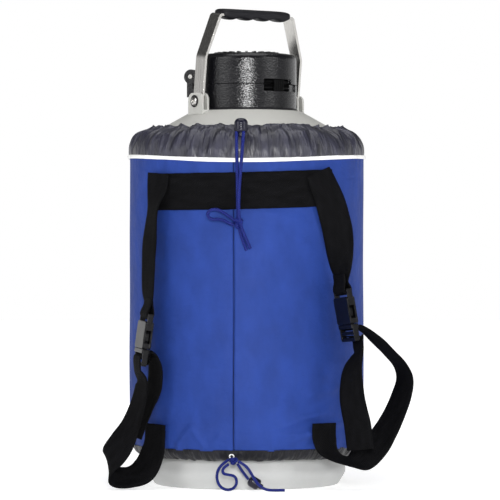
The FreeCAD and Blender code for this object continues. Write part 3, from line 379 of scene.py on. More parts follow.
def metal(name, color, roughness, streaks):
    """Metal with fine drawn streaks, whose scale is given along each axis."""
    shader = Shader(name, color, roughness, 1.0)
    shader.soften_edges(0.0005)
    shader.vary_color(shader.noise(streaks, 4), 0.12)
    shader.vary_roughness(shader.noise(streaks, 3), roughness * 0.75, roughness * 1.3)
    shader.bump(shader.noise(streaks, 3), 0.00006, 0.6)
    return shader.material


def foil():
    """Crinkled metallised insulation wrap."""
    shader = Shader("insulation", (0.82, 0.82, 0.80), 0.28, 1.0)
    shader.vary_color(shader.noise((70, 70, 70), 4), 0.1)
    shader.bump(shader.noise((90, 90, 90), 6), 0.004, 0.9)
    return shader.material


def pale_plastic(name, color, roughness):
    """Plain pale plastic or foam with cells just large enough to see."""
    shader = Shader(name, color, roughness)
    shader.vary_color(shader.noise((300, 300, 300), 2), 0.08)
    shader.bump(shader.noise((900, 900, 900), 2), 0.0003, 0.7)
    return shader.material


# One material for each slot of the frame, and three darker copies for single pieces within a slot,
# each painted shade: the catch's (slot cap_plastic), the hem's (nylon_grey) and the seam
# stitching's (nylon_blue).
MATERIALS = {
    "shell_paint": painted_shell(),
    "foot_plastic": cast_foot(),
    "vessel_aluminium": metal("vessel_aluminium", (0.78, 0.79, 0.80), 0.36, (40, 40, 700)),
    "neck_composite": pale_plastic("neck_composite", (0.72, 0.66, 0.48), 0.5),
    "insulation": foil(),
    "adsorbent": pale_plastic("adsorbent", (0.80, 0.78, 0.70), 0.9),
    "steel": metal("steel", (0.50, 0.49, 0.47), 0.23, (500, 500, 30)),
    "spring_steel": metal("spring_steel", (0.55, 0.55, 0.56), 0.25, (900, 900, 900)),
    "cap_plastic": grained_plastic("cap_plastic", (0.0045, 0.0045, 0.0058), 0.2, 0.36,
                                   grain=430, depth=0.0006),
    # Darker, duller copy of the cap's plastic for the catch and its notch: painted shade.
    "catch_painted_shade": grained_plastic("catch_painted_shade", (0.0012, 0.0012, 0.0014), 0.5, 0.08,
                                     grain=600, depth=0.0001),
    "plug_foam": pale_plastic("plug_foam", (0.85, 0.84, 0.78), 0.9),
    "rubber_black": grained_plastic("rubber_black", (0.005, 0.005, 0.007), 0.55, 0.2,
                                    grain=700, depth=0.00015),
    "washer_plastic": pale_plastic("washer_plastic", (0.80, 0.80, 0.78), 0.45),
    "nylon_blue": cloth_blue(),
    "nylon_grey": cloth_grey("nylon_grey", (0.018, 0.018, 0.031), 0.6),
    # Darker, duller copy of the grey nylon for the hem: painted shade where the hem curls under
    # the vessel.
    "nylon_grey_hem_painted_shade": cloth_grey("nylon_grey_hem_painted_shade", (0.004, 0.004, 0.007), 0.26),
    # Dark navy for the front seam's stitching: painted shade of the seam's groove.
    "seam_shade_navy": braid("seam_shade_navy", (0.004, 0.009, 0.045)),
    "piping_white": piping_cloth(),
    "webbing_black": webbing(),
    "buckle_plastic": grained_plastic("buckle_plastic", (0.004, 0.004, 0.005), 0.30, 0.15,
                                      grain=500, depth=0.0001),
    "cord_blue": braid("cord_blue", (0.007, 0.014, 0.140)),
    "lock_plastic": grained_plastic("lock_plastic", (0.003, 0.003, 0.012), 0.25, 0.35,
                                    grain=300, depth=0.0001),
}


# Camera, light and floor -----------------------------------------------------------------------

def add_camera():
    """Level camera in front of the vessel, about halfway up it."""
    width_at_vessel, distance = 0.645, 4.0
    aside, height = 0.0045, 0.3006
    data = bpy.data.cameras.new("camera")
    data.sensor_width = 36
    data.lens = data.sensor_width * distance / width_at_vessel
    camera = add_object("camera", data)
    camera.location = (aside, -distance, height)
    camera.rotation_euler = (math.radians(90), 0, 0)
    bpy.context.scene.camera = camera


def add_light(name, at, aim, width, height, power):
    """Soft box that faces a point."""
    data = bpy.data.lights.new(name, "AREA")
    data.shape = "RECTANGLE"
    data.size, data.size_y = width, height
    data.energy = power
    light = add_object(name, data)
    light.location = at
    light.rotation_euler = (Vector(aim) - Vector(at)).to_track_quat("-Z", "Y").to_euler()


def add_color_view():
    """Plain colours, so that the white backdrop and the dark webbing keep their contrast."""
    bpy.context.scene.view_settings.view_transform = "Standard"


def map_range(tree, value, low, high, start, end):
    """Socket that goes from start to end as a value goes from low to high."""
    node = tree.nodes.new("ShaderNodeMapRange")
    for socket, number in (("From Min", low), ("From Max", high), ("To Min", start),
                           ("To Max", end)):
        node.inputs[socket].default_value = number
    tree.links.new(value, node.inputs["Value"])
    return node.outputs["Result"]


def add_world():
    """White backdrop low behind the vessel, greyer walls around it and a dim ceiling."""
    world = bpy.data.worlds.new("studio")
    bpy.context.scene.world = world
    world.use_nodes = True
    tree = world.node_tree
    direction = tree.nodes.new("ShaderNodeTexCoord")
    split = tree.nodes.new("ShaderNodeSeparateXYZ")
    tree.links.new(direction.outputs["Generated"], split.inputs["Vector"])
    height = tree.nodes.new("ShaderNodeMath")
    height.operation = "ABSOLUTE"
    tree.links.new(split.outputs["Z"], height.inputs[0])
    both = tree.nodes.new("ShaderNodeMath")
    both.operation = "MULTIPLY"
    walls = map_range(tree, split.outputs["Y"], 0.15, 0.55, start=0.5, end=1)
    ceiling = map_range(tree, height.outputs[0], 0.12, 0.32, start=1, end=0.1)
    tree.links.new(walls, both.inputs[0])
    tree.links.new(ceiling, both.inputs[1])
    tree.links.new(both.outputs[0], tree.nodes["Background"].inputs["Color"])


def add_floor():
    """Pale studio floor lit from below, and more so further out, where it meets the backdrop."""
    shader = Shader("floor", (0.72, 0.72, 0.72), 0.7, Emission_Color=(1, 1, 1, 1))
    shader.vary_color(shader.noise((3, 3, 3), 3), 0.01)
    distance = shader.tree.nodes.new("ShaderNodeVectorMath")
    distance.operation = "LENGTH"
    shader.join(shader.coordinates.outputs["Object"], distance.inputs[0])
    glow = map_range(shader.tree, distance.outputs["Value"], 0.5, 2.2, start=0.6, end=1)
    shader.join(glow, shader.surface.inputs["Emission Strength"])
    half = 9.0
    corners = [(-half, -half, 0), (half, -half, 0), (half, half, 0), (-half, half, 0)]
    add_mesh("floor", corners, [(0, 1, 2, 3)], shader.material)


def add_studio():
    """Key light and a narrow strip in front, a large soft box on each side and one above."""
    middle = (0, 0, 0.3)
    add_light("key", (0.12, -3.4, 0.7), middle, 0.55, 0.55, 52)
    add_light("strip", (0.03, -1.9, 0.60), (0, 0, 0.5), 0.14, 0.35, 8)
    add_light("left", (-2.6, -1.9, 1.6), middle, 1.6, 1.6, 32)
    add_light("right", (2.6, -1.7, 1.6), middle, 1.6, 1.6, 32)
    add_light("top", (0, -0.2, 2.6), middle, 2.2, 2.2, 36)


# Drawcords -------------------------------------------------------------------------------------

# Points of each cord's route, in millimetres, as the CAD model lays them. The feed between the
# bottom knot and its lock stands apart, because it is too short to be declared as a cord.
CORDS = {
    "top_cord_left": [
        (-12.2, -155.4, 447.6), (-12.2, -157.8, 435), (-11.8, -159.4, 418), (-11.4, -159, 398),
        (-11, -157.6, 377), (-10.8, -156.8, 358), (-10.8, -156.4, 341), (-8.8, -156.2, 326),
        (-4.4, -155.8, 312), (0.4, -155.4, 300)],
    "top_cord_right": [
        (-3.4, -157.6, 447.6), (-4.4, -159.4, 435), (-5.6, -160.9, 418), (-7.2, -161.6, 398),
        (-8.8, -161.8, 378), (-9.6, -161.4, 359), (-9.4, -160.8, 342), (-5.8, -159.6, 327),
        (-0.2, -157.8, 314), (5, -156, 302.5)],
    "top_cord_bow": [
        (-14.8, -158.6, 337.6), (-24, -158.2, 344), (-33, -157.6, 350), (-43, -156.8, 351.4),
        (-49.4, -156, 345.4), (-44, -155.8, 338), (-33, -156.4, 339.4), (-22, -157.6, 334.6),
        (-15.4, -158.6, 331)],
    "bottom_cord_loop": [
        (-22, -147, 40), (-32, -145, 33.5), (-37.4, -142.5, 21.5), (-35.4, -141.5, 9.5),
        (-28.2, -141.5, 2.3), (-17.6, -142, 2.3), (-11.6, -143, 9.4), (-13.2, -145.5, 19),
        (-21.6, -147.5, 21.4), (-29.4, -149.5, 22.6), (-29.4, -150, 30.2), (-21.8, -149, 34.6)],
    "bottom_cord_tail": [
        (-9.8, -148.4, 38), (-0.6, -150.4, 33.4), (6.6, -152.4, 22.4), (13.6, -153.6, 10.4),
        (22.6, -153.8, 3.4), (34, -152.8, 2.2), (47.6, -151, 2.4)],
}
FEED = [(-11.2, -146, 35), (-6.4, -145.6, 27.6), (-1.2, -144.6, 20.4), (2.6, -143.6, 15.4)]
TOP_CORD, BOTTOM_CORD = 4 * MM, 3.6 * MM


def round_curve(name, radius):
    """Empty round curve of blue cord."""
    data = bpy.data.curves.new(name, "CURVE")
    data.dimensions = "3D"
    data.bevel_depth = radius
    data.bevel_resolution = 5
    data.materials.append(MATERIALS["cord_blue"])
    return data


def add_cord(name, route, diameter):
    """Smooth round cord along its route."""
    data = round_curve(name + "_strand", diameter / 2)
    data.resolution_u = 10
    data.use_fill_caps = True
    spline = data.splines.new("NURBS")
    spline.points.add(len(route) - 1)
    for point, at in zip(spline.points, route):
        point.co = (*(Vector(at) * MM), 1)
    spline.order_u = 3
    spline.use_endpoint_u = True
    return settle(add_object(name + "_strand", data), "vessel", "cord_blue", name)


def add_knot(name, cord_radius):
    """Tied overhand knot: one strand that winds through itself, filling its CAD lump."""
    low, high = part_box(name)
    centre, half = (low + high) / 2, (high - low) / 2
    data = round_curve(name + "_tied", cord_radius)
    spline = data.splines.new("NURBS")
    count = 24
    spline.points.add(count - 1)
    for i, point in enumerate(spline.points):
        t = 2 * math.pi * i / count
        across = (math.sin(t) + 2 * math.sin(2 * t)) / 3
        upward = (math.cos(t) - 2 * math.cos(2 * t)) / 3
        spot = centre + Vector((across * (half.x - cord_radius), -math.sin(3 * t) * half.y * 0.5,
                                upward * (half.z - cord_radius)))
        point.co = (*spot, 1)
    spline.order_u = 3
    spline.use_cyclic_u = True
    return settle(add_object(name + "_tied", data), "vessel", "cord_blue", name)


def add_cords():
    """Drawcords with the knots tied in them."""
    top_knot = add_knot("top_cord_knot", 2.1 * MM)
    bottom_knot = add_knot("bottom_cord_knot", 1.9 * MM)
    for name, route in CORDS.items():
        top = name.startswith("top")
        diameter = TOP_CORD if top else BOTTOM_CORD
        obj = add_cord(name, route, diameter)
    add_cord("bottom_cord_feed", FEED, BOTTOM_CORD)


# Cover -----------------------------------------------------------------------------------------

# How far the piped seam stands above its CAD ring at the back, where it doesn't sag.
SEAM_RISE = 2 * MM


def seam_height(turn):
    """Height of the piped seam: it sags a little at the front, where the cords pull it."""
    sag, waver = 8 * MM, 0.6 * MM
    facing = max(math.cos(math.radians(turn)), 0)
    return SEAM_HEIGHT + SEAM_RISE - sag * facing ** 2.5 + waver * ripple(turn, 0, 9, 1)


# Long creases on the sleeve: turn and height of both ends, width and how far they stand out, mm.
CREASES = [
    (14, 78, 44, 104, 5, 3.2), (20, 62, 50, 82, 4.5, 3.4), (28, 118, 50, 128, 7, 2.4),
    (16, 70, 36, 72, 3, 2.4), (24, 92, 48, 96, 4, 2.4), (22, 136, 42, 139, 6, 2.2),
    (-36, 52, -27, 80, 5, 2.4), (-27, 80, -20, 52, 5, 2.6), (-18, 52, -12, 72, 4, 1.8),
    (-50, 330, -38, 318, 8, 1.4), (6, 330, 34, 300, 11, 1.3), (-42, 300, -20, 318, 10, 1.3),
    (8, 205, 40, 190, 12, 1.2), (-34, 190, -12, 214, 12, 1.1), (10, 345, 30, 338, 6, 1.8),
    (-30, 120, -12, 108, 9, 1.4),
]


def crease_lift(turn, height):
    """How far the creases lift the cloth at one spot."""
    lift, overrun, fade_out = 0, 0.2, 2.5
    across = math.radians(turn) * COVER_RADIUS / MM
    for from_turn, from_height, to_turn, to_height, width, rise in CREASES:
        start = Vector((math.radians(from_turn) * COVER_RADIUS / MM, from_height))
        along = Vector((math.radians(to_turn) * COVER_RADIUS / MM, to_height)) - start
        spot = Vector((across, height / MM)) - start
        share = spot.dot(along) / along.length_squared
        if -overrun < share < 1 + overrun:
            off = (spot - along * share).length / width
            if off < fade_out:
                ends = smooth_step(-overrun, 0.25, share)
                ends *= 1 - smooth_step(0.75, 1 + overrun, share)
                lift += rise * MM * ends * math.exp(-off * off)
    return lift


def seam_waver(turn, height):
    """How far the front seam wanders from a straight line, along the sleeve's surface."""
    return 0.8 * MM * ripple(turn, height, 4, 7, 5)


def sleeve_radius(turn, height):
    """Radius of the sleeve's outside, with its puckers, creases and the seam down its front."""
    low, high = SLEEVE_LOW.z, seam_height(turn)
    slack, tuck_depth, swell = 0.9 * MM, 5.2 * MM, 0.9 * MM
    tuck = 1 - smooth_step(low - 6 * MM, low + 26 * MM, height)
    radius = COVER_RADIUS - slack - tuck_depth * tuck ** 1.6
    radius += swell * ripple(turn, height, 14, 9, 1)
    top_gather, top_reach, hem_gather, hem_reach = 0.9 * MM, 11 * MM, 2.0 * MM, 20 * MM
    near_top = math.exp((height - high) / top_reach)
    near_hem = math.exp((low - height) / hem_reach)
    radius += top_gather * near_top * ripple(turn, height, 110, 12, 2)
    radius += hem_gather * near_hem * ripple(turn, height, 62, 20, 3)
    groove_depth, groove_width, pucker_depth, pucker_reach = 2.3 * MM, 1.2 * MM, 0.6 * MM, 9 * MM
    off = math.radians(turn - SEAM_TURN) * COVER_RADIUS + seam_waver(turn, height)
    groove = math.exp(-(off / groove_width) ** 2)
    puckers = math.exp(-abs(off) / pucker_reach) * ripple(turn, height, 20, 90, 4)
    return (radius - groove_depth * groove + pucker_depth * puckers
            + crease_lift(turn, height))


def add_sleeve():
    """Blue cloth sleeve between the hem and the piping."""
    rows, columns = 150, 1080
    points = []
    for row in range(rows):
        for column in range(columns):
            turn = 360 * column / columns - 180
            low, high = SLEEVE_LOW.z + 2.5 * MM, seam_height(turn)
            height = low + (high - low) * row / (rows - 1)
            points.append(place(turn, sleeve_radius(turn, height), height))
    faces = grid_faces(rows, columns, closed=True)
    obj = add_mesh("sleeve", points, faces, MATERIALS["nylon_blue"])
    thicken(obj, 0.6 * MM)
    settle(obj, "vessel", "nylon_blue", "cover_sleeve")


def add_seam_shade_thread():
    """Dark line of stitching along the bottom of the sleeve's front seam: painted shade for the
    seam's groove.
    """
    low, high = SLEEVE_LOW.z + 3 * MM, seam_height(SEAM_TURN) - 2 * MM
    steps, half_width, proud = 150, 0.55 * MM, 0.5 * MM
    spread = math.degrees(half_width / COVER_RADIUS)
    points = []
    for step in range(steps + 1):
        height = low + (high - low) * step / steps
        middle = SEAM_TURN - math.degrees(seam_waver(SEAM_TURN, height) / COVER_RADIUS)
        radius = sleeve_radius(middle, height) + proud
        points += [place(middle - spread, radius, height), place(middle + spread, radius, height)]
    faces = [(2 * i, 2 * i + 1, 2 * i + 3, 2 * i + 2) for i in range(steps)]
    obj = add_mesh("seam_shade_thread", points, faces, MATERIALS["seam_shade_navy"])
    thicken(obj, 0.3 * MM)
    settle(obj, "vessel", "nylon_blue")


def add_gathered(name, node, material, profile, gather, folds, wander, share_of_sag, flat):
    """Gathered ring of cloth: a profile of (radius, height) in millimetres, whose folds grow.

    The folds are gather millimetres deep, so many round the ring, and wander by some degrees.
    """
    rows, columns = 56, 1440
    radii = [radius for radius, _ in profile]
    heights = [height for _, height in profile]
    points, uvs = [], []
    for row in range(rows):
        share = row / (rows - 1)
        depth = gather * smooth_step(0, 0.55, share)
        for column in range(columns):
            turn = 360 * column / columns - 180
            lean = wander * share * ripple(turn, 0, 24, 1, 7)
            fold = ripple(turn + lean, share * 0.12, folds, 8, 8)
            ridge = 1 - 2.6 * abs(ripple(turn + lean * 1.6, share * 0.2, folds * 0.7, 9, 10))
            fine = ripple(turn + lean, share * 0.3, folds * 2.3, 10, 9)
            crease = 0.7 * ridge + 0.8 * fold + 0.35 * fine
            radius = curve_through(radii, share) + depth * crease
            height = curve_through(heights, share) + depth * 0.7 * (crease - 0.7 * fine)
            sag = (seam_height(turn) - SEAM_HEIGHT - SEAM_RISE) / MM * share_of_sag(share)
            points.append(place(turn, radius * MM, (height + sag) * MM))
            uvs.append((math.radians(turn) * COVER_RADIUS, share * flat[1]))
    faces = grid_faces(rows, columns, closed=True)
    obj = add_mesh(name, points, faces, MATERIALS[material], uvs)
    thicken(obj, 0.5 * MM)
    settle(obj, "vessel", "nylon_grey", node)


def add_piping():
    """Piped seam: a soft oval roll that follows the seam's sag."""
    columns, around = 360, 14
    deep, proud = 1.7 * MM, 0.4 * MM
    points = []
    for column in range(columns):
        turn = 360 * column / columns - 180
        tall = 2.5 * MM * (1 + 0.18 * ripple(turn, 0, 16, 1, 11))
        for step in range(around):
            angle = 2 * math.pi * step / around
            radius = COVER_RADIUS + proud + deep * math.cos(angle)
            points.append(place(turn, radius, seam_height(turn) + tall * math.sin(angle)))
    obj = add_mesh("piping", points, hoop_faces(columns, around), MATERIALS["piping_white"])
    settle(obj, "vessel", "piping_white", "cover_piping")


def add_cover():
    """The cover's four pieces of cloth and the dark stitching in its front seam, which paints the
    groove's shade.
    """
    seam = SEAM_HEIGHT / MM
    top = HOOD_TOP / MM
    add_sleeve()
    add_seam_shade_thread()
    add_gathered(
        "hood", "cover_hood", "nylon_grey",
        [(151.4, seam + 1), (151.6, seam + 9), (149.6, seam + 17), (144.5, seam + 26),
         (137, seam + 32), (129, top - 5), (123.2, top - 2), (121.5, top), (119.6, top - 3)],
        gather=3.0, folds=86, wander=5, share_of_sag=lambda share: (1 - share) ** 1.5,
        flat=(0.95, 0.062))
    low = SLEEVE_LOW.z / MM
    # The hem uses the darker copy of the grey nylon: painted shade under the vessel's bottom edge.
    add_gathered(
        "hem", "cover_hem", "nylon_grey_hem_painted_shade",
        [(147.2, low + 4), (145.6, low + 0.5), (142.5, low - 4), (138, low - 8.2),
         (133.5, low - 10), (131.5, low - 9)],
        gather=2.2, folds=80, wander=4, share_of_sag=lambda share: 0, flat=(0.93, 0.024))
    add_piping()


# Webbing ---------------------------------------------------------------------------------------

# Widths of the webbing, in millimetres.
STRAP_WIDTH, BAND_WIDTH = 38, 46


def add_strap(name, stations, width, thickness=1.9, steps=9):
    """Webbing along stations of (centre, direction across it), in millimetres."""
    centres = [Vector(centre) * MM for centre, _ in stations]
    sides = [Vector(side).normalized() for _, side in stations]
    edge_thinning, unevenness, frayed = 0.45, 0.35 * MM, 0.012
    rows = (len(stations) - 1) * steps + 1
    spans = 12
    ring = 2 * (spans + 1)
    points, uvs = [], []
    length, before = 0, None
    for row in range(rows):
        share = row / (rows - 1)
        centre = curve_through(centres, share)
        nudge = 0.002 if share < 0.5 else -0.002
        ahead = (curve_through(centres, share + nudge) - centre) * (1 if nudge > 0 else -1)
        side = curve_through(sides, share)
        side = (side - ahead * side.dot(ahead) / ahead.length_squared).normalized()
        normal = ahead.cross(side).normalized()
        length += (centre - before).length if before else 0
        before = centre
        for step in range(ring):
            front = step <= spans
            across = -1 + 2 * (step if front else ring - 1 - step) / spans
            edge = 1 - edge_thinning * abs(across) ** 10
            lift = thickness / 2 * MM * edge * (1 if front else -1)
            lift += unevenness * noise.noise(Vector((across * 1.5, length * 30, len(name))))
            reach = across * width / 2 * MM
            reach *= 1 + frayed * noise.noise(Vector((length * 60, across, 3)))
            points.append(centre + side * reach + normal * lift)
            uvs.append((across * width / 2 * MM, length))
    return add_mesh(name, points, tube_faces(rows, ring), MATERIALS["webbing_black"], uvs)


def add_band():
    """Wide webbing band stitched across the front, under the ends of the upper straps."""
    middle = (BAND_LOW.z + BAND_HIGH.z) / 2 / MM
    left_turn, sweep, spans = -51, 96, 14
    left_drop, rise, dip, proud = 2.4, 5.4, 2, 1.4
    stations = []
    for step in range(spans + 1):
        share = step / spans
        turn = left_turn + sweep * share
        height = middle - left_drop + rise * share - dip * math.sin(math.pi * share)
        radius = COVER_RADIUS / MM + proud + 0.5 * ripple(turn, 0, 12, 1, 13)
        stations.append((place(turn, radius, height), (0, 0, 1)))
    obj = add_strap("band", stations, BAND_WIDTH, thickness=1.5, steps=6)
    settle(obj, "vessel", "webbing_black", "back_band")


BUCKLES = {
    "left": {"mouth": Vector((-130.4, -113, 177.7)), "across": Vector((0.26, -0.966, 0)),
             "down": Vector((-0.14, 0, -0.99))},
    "right": {"mouth": Vector((126.9, -129, 208.2)), "across": Vector((0.36, -0.93, 0)),
              "down": Vector((0.166, 0, -0.986))},
}


def buckle_axes(side):
    """Directions across, out of and up a buckle."""
    up = -BUCKLES[side]["down"].normalized()
    across = BUCKLES[side]["across"]
    across = (across - up * across.dot(up)).normalized()
    return across, up.cross(across), up


def in_buckle(side, out, up):
    """Station on a buckle's centre line, so far out of its face and up from its mouth."""
    across, normal, lift = buckle_axes(side)
    return BUCKLES[side]["mouth"] + normal * out + lift * up, across


# Stations of each strap between the buckles and the cover: its centre, then the direction
# across it. They follow the CAD model's, and leave them by some millimetres on the left.
UPPER = {
    "left": [
        ((-110.5, -109, 397), (0.70, -0.71, 0)), ((-112, -108.5, 378), (0.66, -0.75, 0)),
        ((-117.5, -110, 351), (0.36, -0.93, 0)), ((-121.3, -109, 313), (0.46, -0.89, 0)),
        ((-122.6, -109.5, 288), (0.45, -0.89, 0)), ((-123.4, -111, 250), (0.40, -0.92, 0))],
    "right": [
        ((89.8, -127.2, 398), (0.82, 0.57, 0)), ((96.5, -125.5, 382), (0.88, 0.40, 0)),
        ((104.8, -125, 361), (0.95, 0.22, 0)), ((113.3, -123.5, 328), (0.97, -0.12, 0)),
        ((116.7, -125.5, 302), (0.87, -0.46, 0)), ((118.3, -128, 279), (0.66, -0.75, 0))],
}
LOWER = {
    "left": [
        ((-131.5, -116, 135), (0.40, -0.92, 0)),
        ((-134.8, -119.5, 112), (0.50, -0.86, 0)), ((-144, -124, 84), (0.57, -0.78, -0.2)),
        ((-157, -128, 58), (0.55, -0.50, -0.65)), ((-169.5, -124, 39), (0.15, -0.30, -0.95)),
        ((-171.5, -116, 24), (0.1, -0.5, -0.86)), ((-163, -110, 16), (0.1, -0.72, -0.68)),
        ((-146, -107, 15.5), (0.15, -0.76, -0.62)), ((-129, -106.5, 24), (0.45, -0.55, -0.7)),
        ((-119, -105, 43), (0.70, -0.6, -0.3)), ((-115, -104, 62), (0.68, -0.73, 0)),
        ((-114.5, -104.5, 82), (0.67, -0.74, 0))],
    "right": [
        ((150, -122, 199), (0.25, -0.96, 0.1)),
        ((165, -116, 186), (0.25, -0.95, 0.2)), ((180, -111, 171), (0.25, -0.95, 0.2)),
        ((193, -107, 156), (0.35, -0.92, 0.15)), ((199, -105, 139), (0.50, -0.86, 0.05)),
        ((195, -106, 119), (0.60, -0.80, -0.1)), ((186, -108, 96), (0.62, -0.75, -0.2)),
        ((174, -111, 73), (0.62, -0.65, -0.35)), ((160, -115, 53), (0.50, -0.52, -0.65)),
        ((145, -119, 40), (0.30, -0.55, -0.75)), ((130, -122.5, 36), (0.05, -0.93, -0.3)),
        ((114, -123, 41), (-0.40, -0.9, -0.1)), ((102.5, -122, 51.5), (-0.70, -0.70, 0)),
        ((97.5, -121.5, 66), (-0.78, -0.62, 0)), ((97.5, -121.5, 84), (-0.78, -0.62, 0))],
}
TAIL = {
    "left": [
        ((-119, -113, 169), (0.32, -0.95, 0)),
        ((-114.3, -113, 154), (0.45, -0.89, 0)), ((-114.8, -113.5, 133), (0.50, -0.86, 0)),
        ((-118.5, -113, 119), (0.50, -0.86, 0)), ((-125.5, -113, 104), (0.50, -0.86, 0)),
        ((-134, -114, 83), (0.50, -0.86, 0)), ((-140, -115, 66), (0.50, -0.86, 0))],
    "right": [
        ((140, -131, 178), (0.20, -0.97, 0)),
        ((137, -135, 167), (0.35, -0.93, 0)), ((132.5, -138, 153), (0.55, -0.82, 0)),
        ((131, -140, 138), (0.68, -0.72, 0)), ((132, -142, 114), (0.80, -0.60, 0)),
        ((138, -143, 84), (0.85, -0.50, 0)), ((142, -143, 52), (0.85, -0.50, 0))],
}
# How each strap meets its buckle: (out of the face, up from the mouth), in millimetres.
WRAP_SOCKET = [(1.9, 54), (3.9, 46.5), (4.0, 41), (0, 37.4), (-4.0, 41), (-3.9, 46.5), (-1.6, 54),
               (-1.4, 63)]
WRAP_LOWER = {"left": [(0, -7.7), (-4.6, -11), (-4.4, -18), (-1.5, -30)],
              "right": [(0, -7.7), (5.4, -5.2), (10, -4)]}
WRAP_TAIL = {"left": [(0, -7.7), (5.8, -10.5), (7.4, -15)],
             "right": [(0, -15.7), (5.8, -17), (9.5, -21)]}


def add_straps():
    """Both shoulder straps: upper strap, lower strap, and a loose tail that rides on its plug."""
    for side in ("left", "right"):
        plug = f"{side}_plug"
        wrap = [in_buckle(side, out, up) for out, up in WRAP_SOCKET]
        upper = add_strap(f"{side}_upper_webbing", UPPER[side] + wrap, STRAP_WIDTH)
        settle(upper, "vessel", "webbing_black", f"{side}_upper_strap")
        wrap = [in_buckle(side, out, up) for out, up in WRAP_LOWER[side]]
        lower = add_strap(f"{side}_lower_webbing", wrap + LOWER[side], STRAP_WIDTH)
        settle(lower, None, "webbing_black", f"{side}_lower_strap")
        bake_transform(lower)
        wrap = [in_buckle(side, out, up) for out, up in WRAP_TAIL[side]]
        tail = add_strap(f"{side}_tail_webbing", wrap + TAIL[side], STRAP_WIDTH)
        settle(tail, plug, "webbing_black", f"{side}_strap_tail")


# Buckles ---------------------------------------------------------------------------------------

def rounded_slab(mesh, outline, low, high, edge=0.7):
    """Add a bevelled plate to a bmesh: an outline in (across, up), between two depths, mm."""
    bottom = [mesh.verts.new((x * MM, low * MM, z * MM)) for x, z in outline]
    top = [mesh.verts.new((x * MM, high * MM, z * MM)) for x, z in outline]
    faces = [mesh.faces.new(bottom), mesh.faces.new(top[::-1])]
    for i in range(len(outline)):
        after = (i + 1) % len(outline)
        faces.append(mesh.faces.new((bottom[i], top[i], top[after], bottom[after])))
    edges = {part for face in faces for part in face.edges}
    bmesh.ops.bevel(mesh, geom=list(edges), offset=edge * MM, segments=2, affect="EDGES",
                    profile=0.6, clamp_overlap=True)


def box_outline(left, right, low, high):
    """Four corners of an upright rectangle."""
    return [(left, low), (right, low), (right, high), (left, high)]


def finish_buckle_part(name, mesh, side, body, node):
    """Turn a bmesh into a piece and stand it in its buckle's place."""
    bmesh.ops.recalc_face_normals(mesh, faces=mesh.faces)
    data = bpy.data.meshes.new(name)
    mesh.to_mesh(data)
    mesh.free()
    across, normal, up = buckle_axes(side)
    turn = Matrix((across, normal, up)).transposed().to_4x4()
    data.transform(Matrix.Translation(BUCKLES[side]["mouth"] * MM) @ turn)
    data.materials.append(MATERIALS["buckle_plastic"])
    settle(add_object(name, data), body, "buckle_plastic", node)


def add_socket(side):
    """Buckle socket: two faces, side rails with windows, and the bar the upper strap wraps."""
    mesh = bmesh.new()
    face = [(-22, 2), (-20, 0), (20, 0), (22, 2), (22, 8), (20.6, 12), (20.6, 20), (22, 25),
            (22, 32), (19.6, 34), (-19.6, 34), (-22, 32), (-22, 25), (-20.6, 20), (-20.6, 12),
            (-22, 8)]
    for low, high in ((3.1, 5.4), (-5.4, -3.1)):
        rounded_slab(mesh, face, low, high)
    rounded_slab(mesh, box_outline(-12, 12, 9, 27), 5.0, 6.1, 0.5)
    for number in range(3):
        rounded_slab(mesh, box_outline(-15, 15, 1.4 + 2.3 * number, 2.6 + 2.3 * number),
                     5.0, 6.0, 0.3)
    for sign in (-1, 1):
        for low, high in ((0.5, 7), (23, 33.5)):
            rounded_slab(mesh, box_outline(*sorted((18.3 * sign, 21.8 * sign)), low, high),
                         -3.4, 3.4, 0.6)
        rounded_slab(mesh, box_outline(*sorted((19.6 * sign, 22 * sign)), 30, 44), -3.6, 3.6, 0.8)
    rounded_slab(mesh, box_outline(-19, 19, 28.5, 33.8), -3.4, 3.4, 0.6)
    rounded_slab(mesh, box_outline(-21, 21, 39.8, 44), -2.6, 2.6, 1.1)
    finish_buckle_part(f"{side}_socket", mesh, side, "vessel", f"{side}_buckle_socket")


def add_plug(side):
    """Buckle plug: three bars for the webbing, two sprung prongs and a centre guide."""
    mesh = bmesh.new()
    for low, high, depth in ((-6, -0.4, 5), (-14, -9.5, 3), (-22, -17.5, 3.2)):
        rounded_slab(mesh, box_outline(-21.5, 21.5, low, high), -depth, depth, 1.1)
    for sign in (-1, 1):
        rail = box_outline(*sorted((19.4 * sign, 22 * sign)), -21, -1)
        rounded_slab(mesh, rail, -3.6, 3.6, 0.8)
        prong = [(11, -1), (15, -1), (15.5, 8), (17.3, 10), (17.3, 19), (14.5, 23.5), (11.5, 23.5)]
        rounded_slab(mesh, [(x * sign, z) for x, z in prong][::sign], -2.4, 2.4, 0.5)
    rounded_slab(mesh, box_outline(-3.4, 3.4, -1, 23), -2.3, 2.3, 0.5)
    finish_buckle_part(f"{side}_plug_part", mesh, side, f"{side}_plug", f"{side}_buckle_plug")


# Grip ------------------------------------------------------------------------------------------

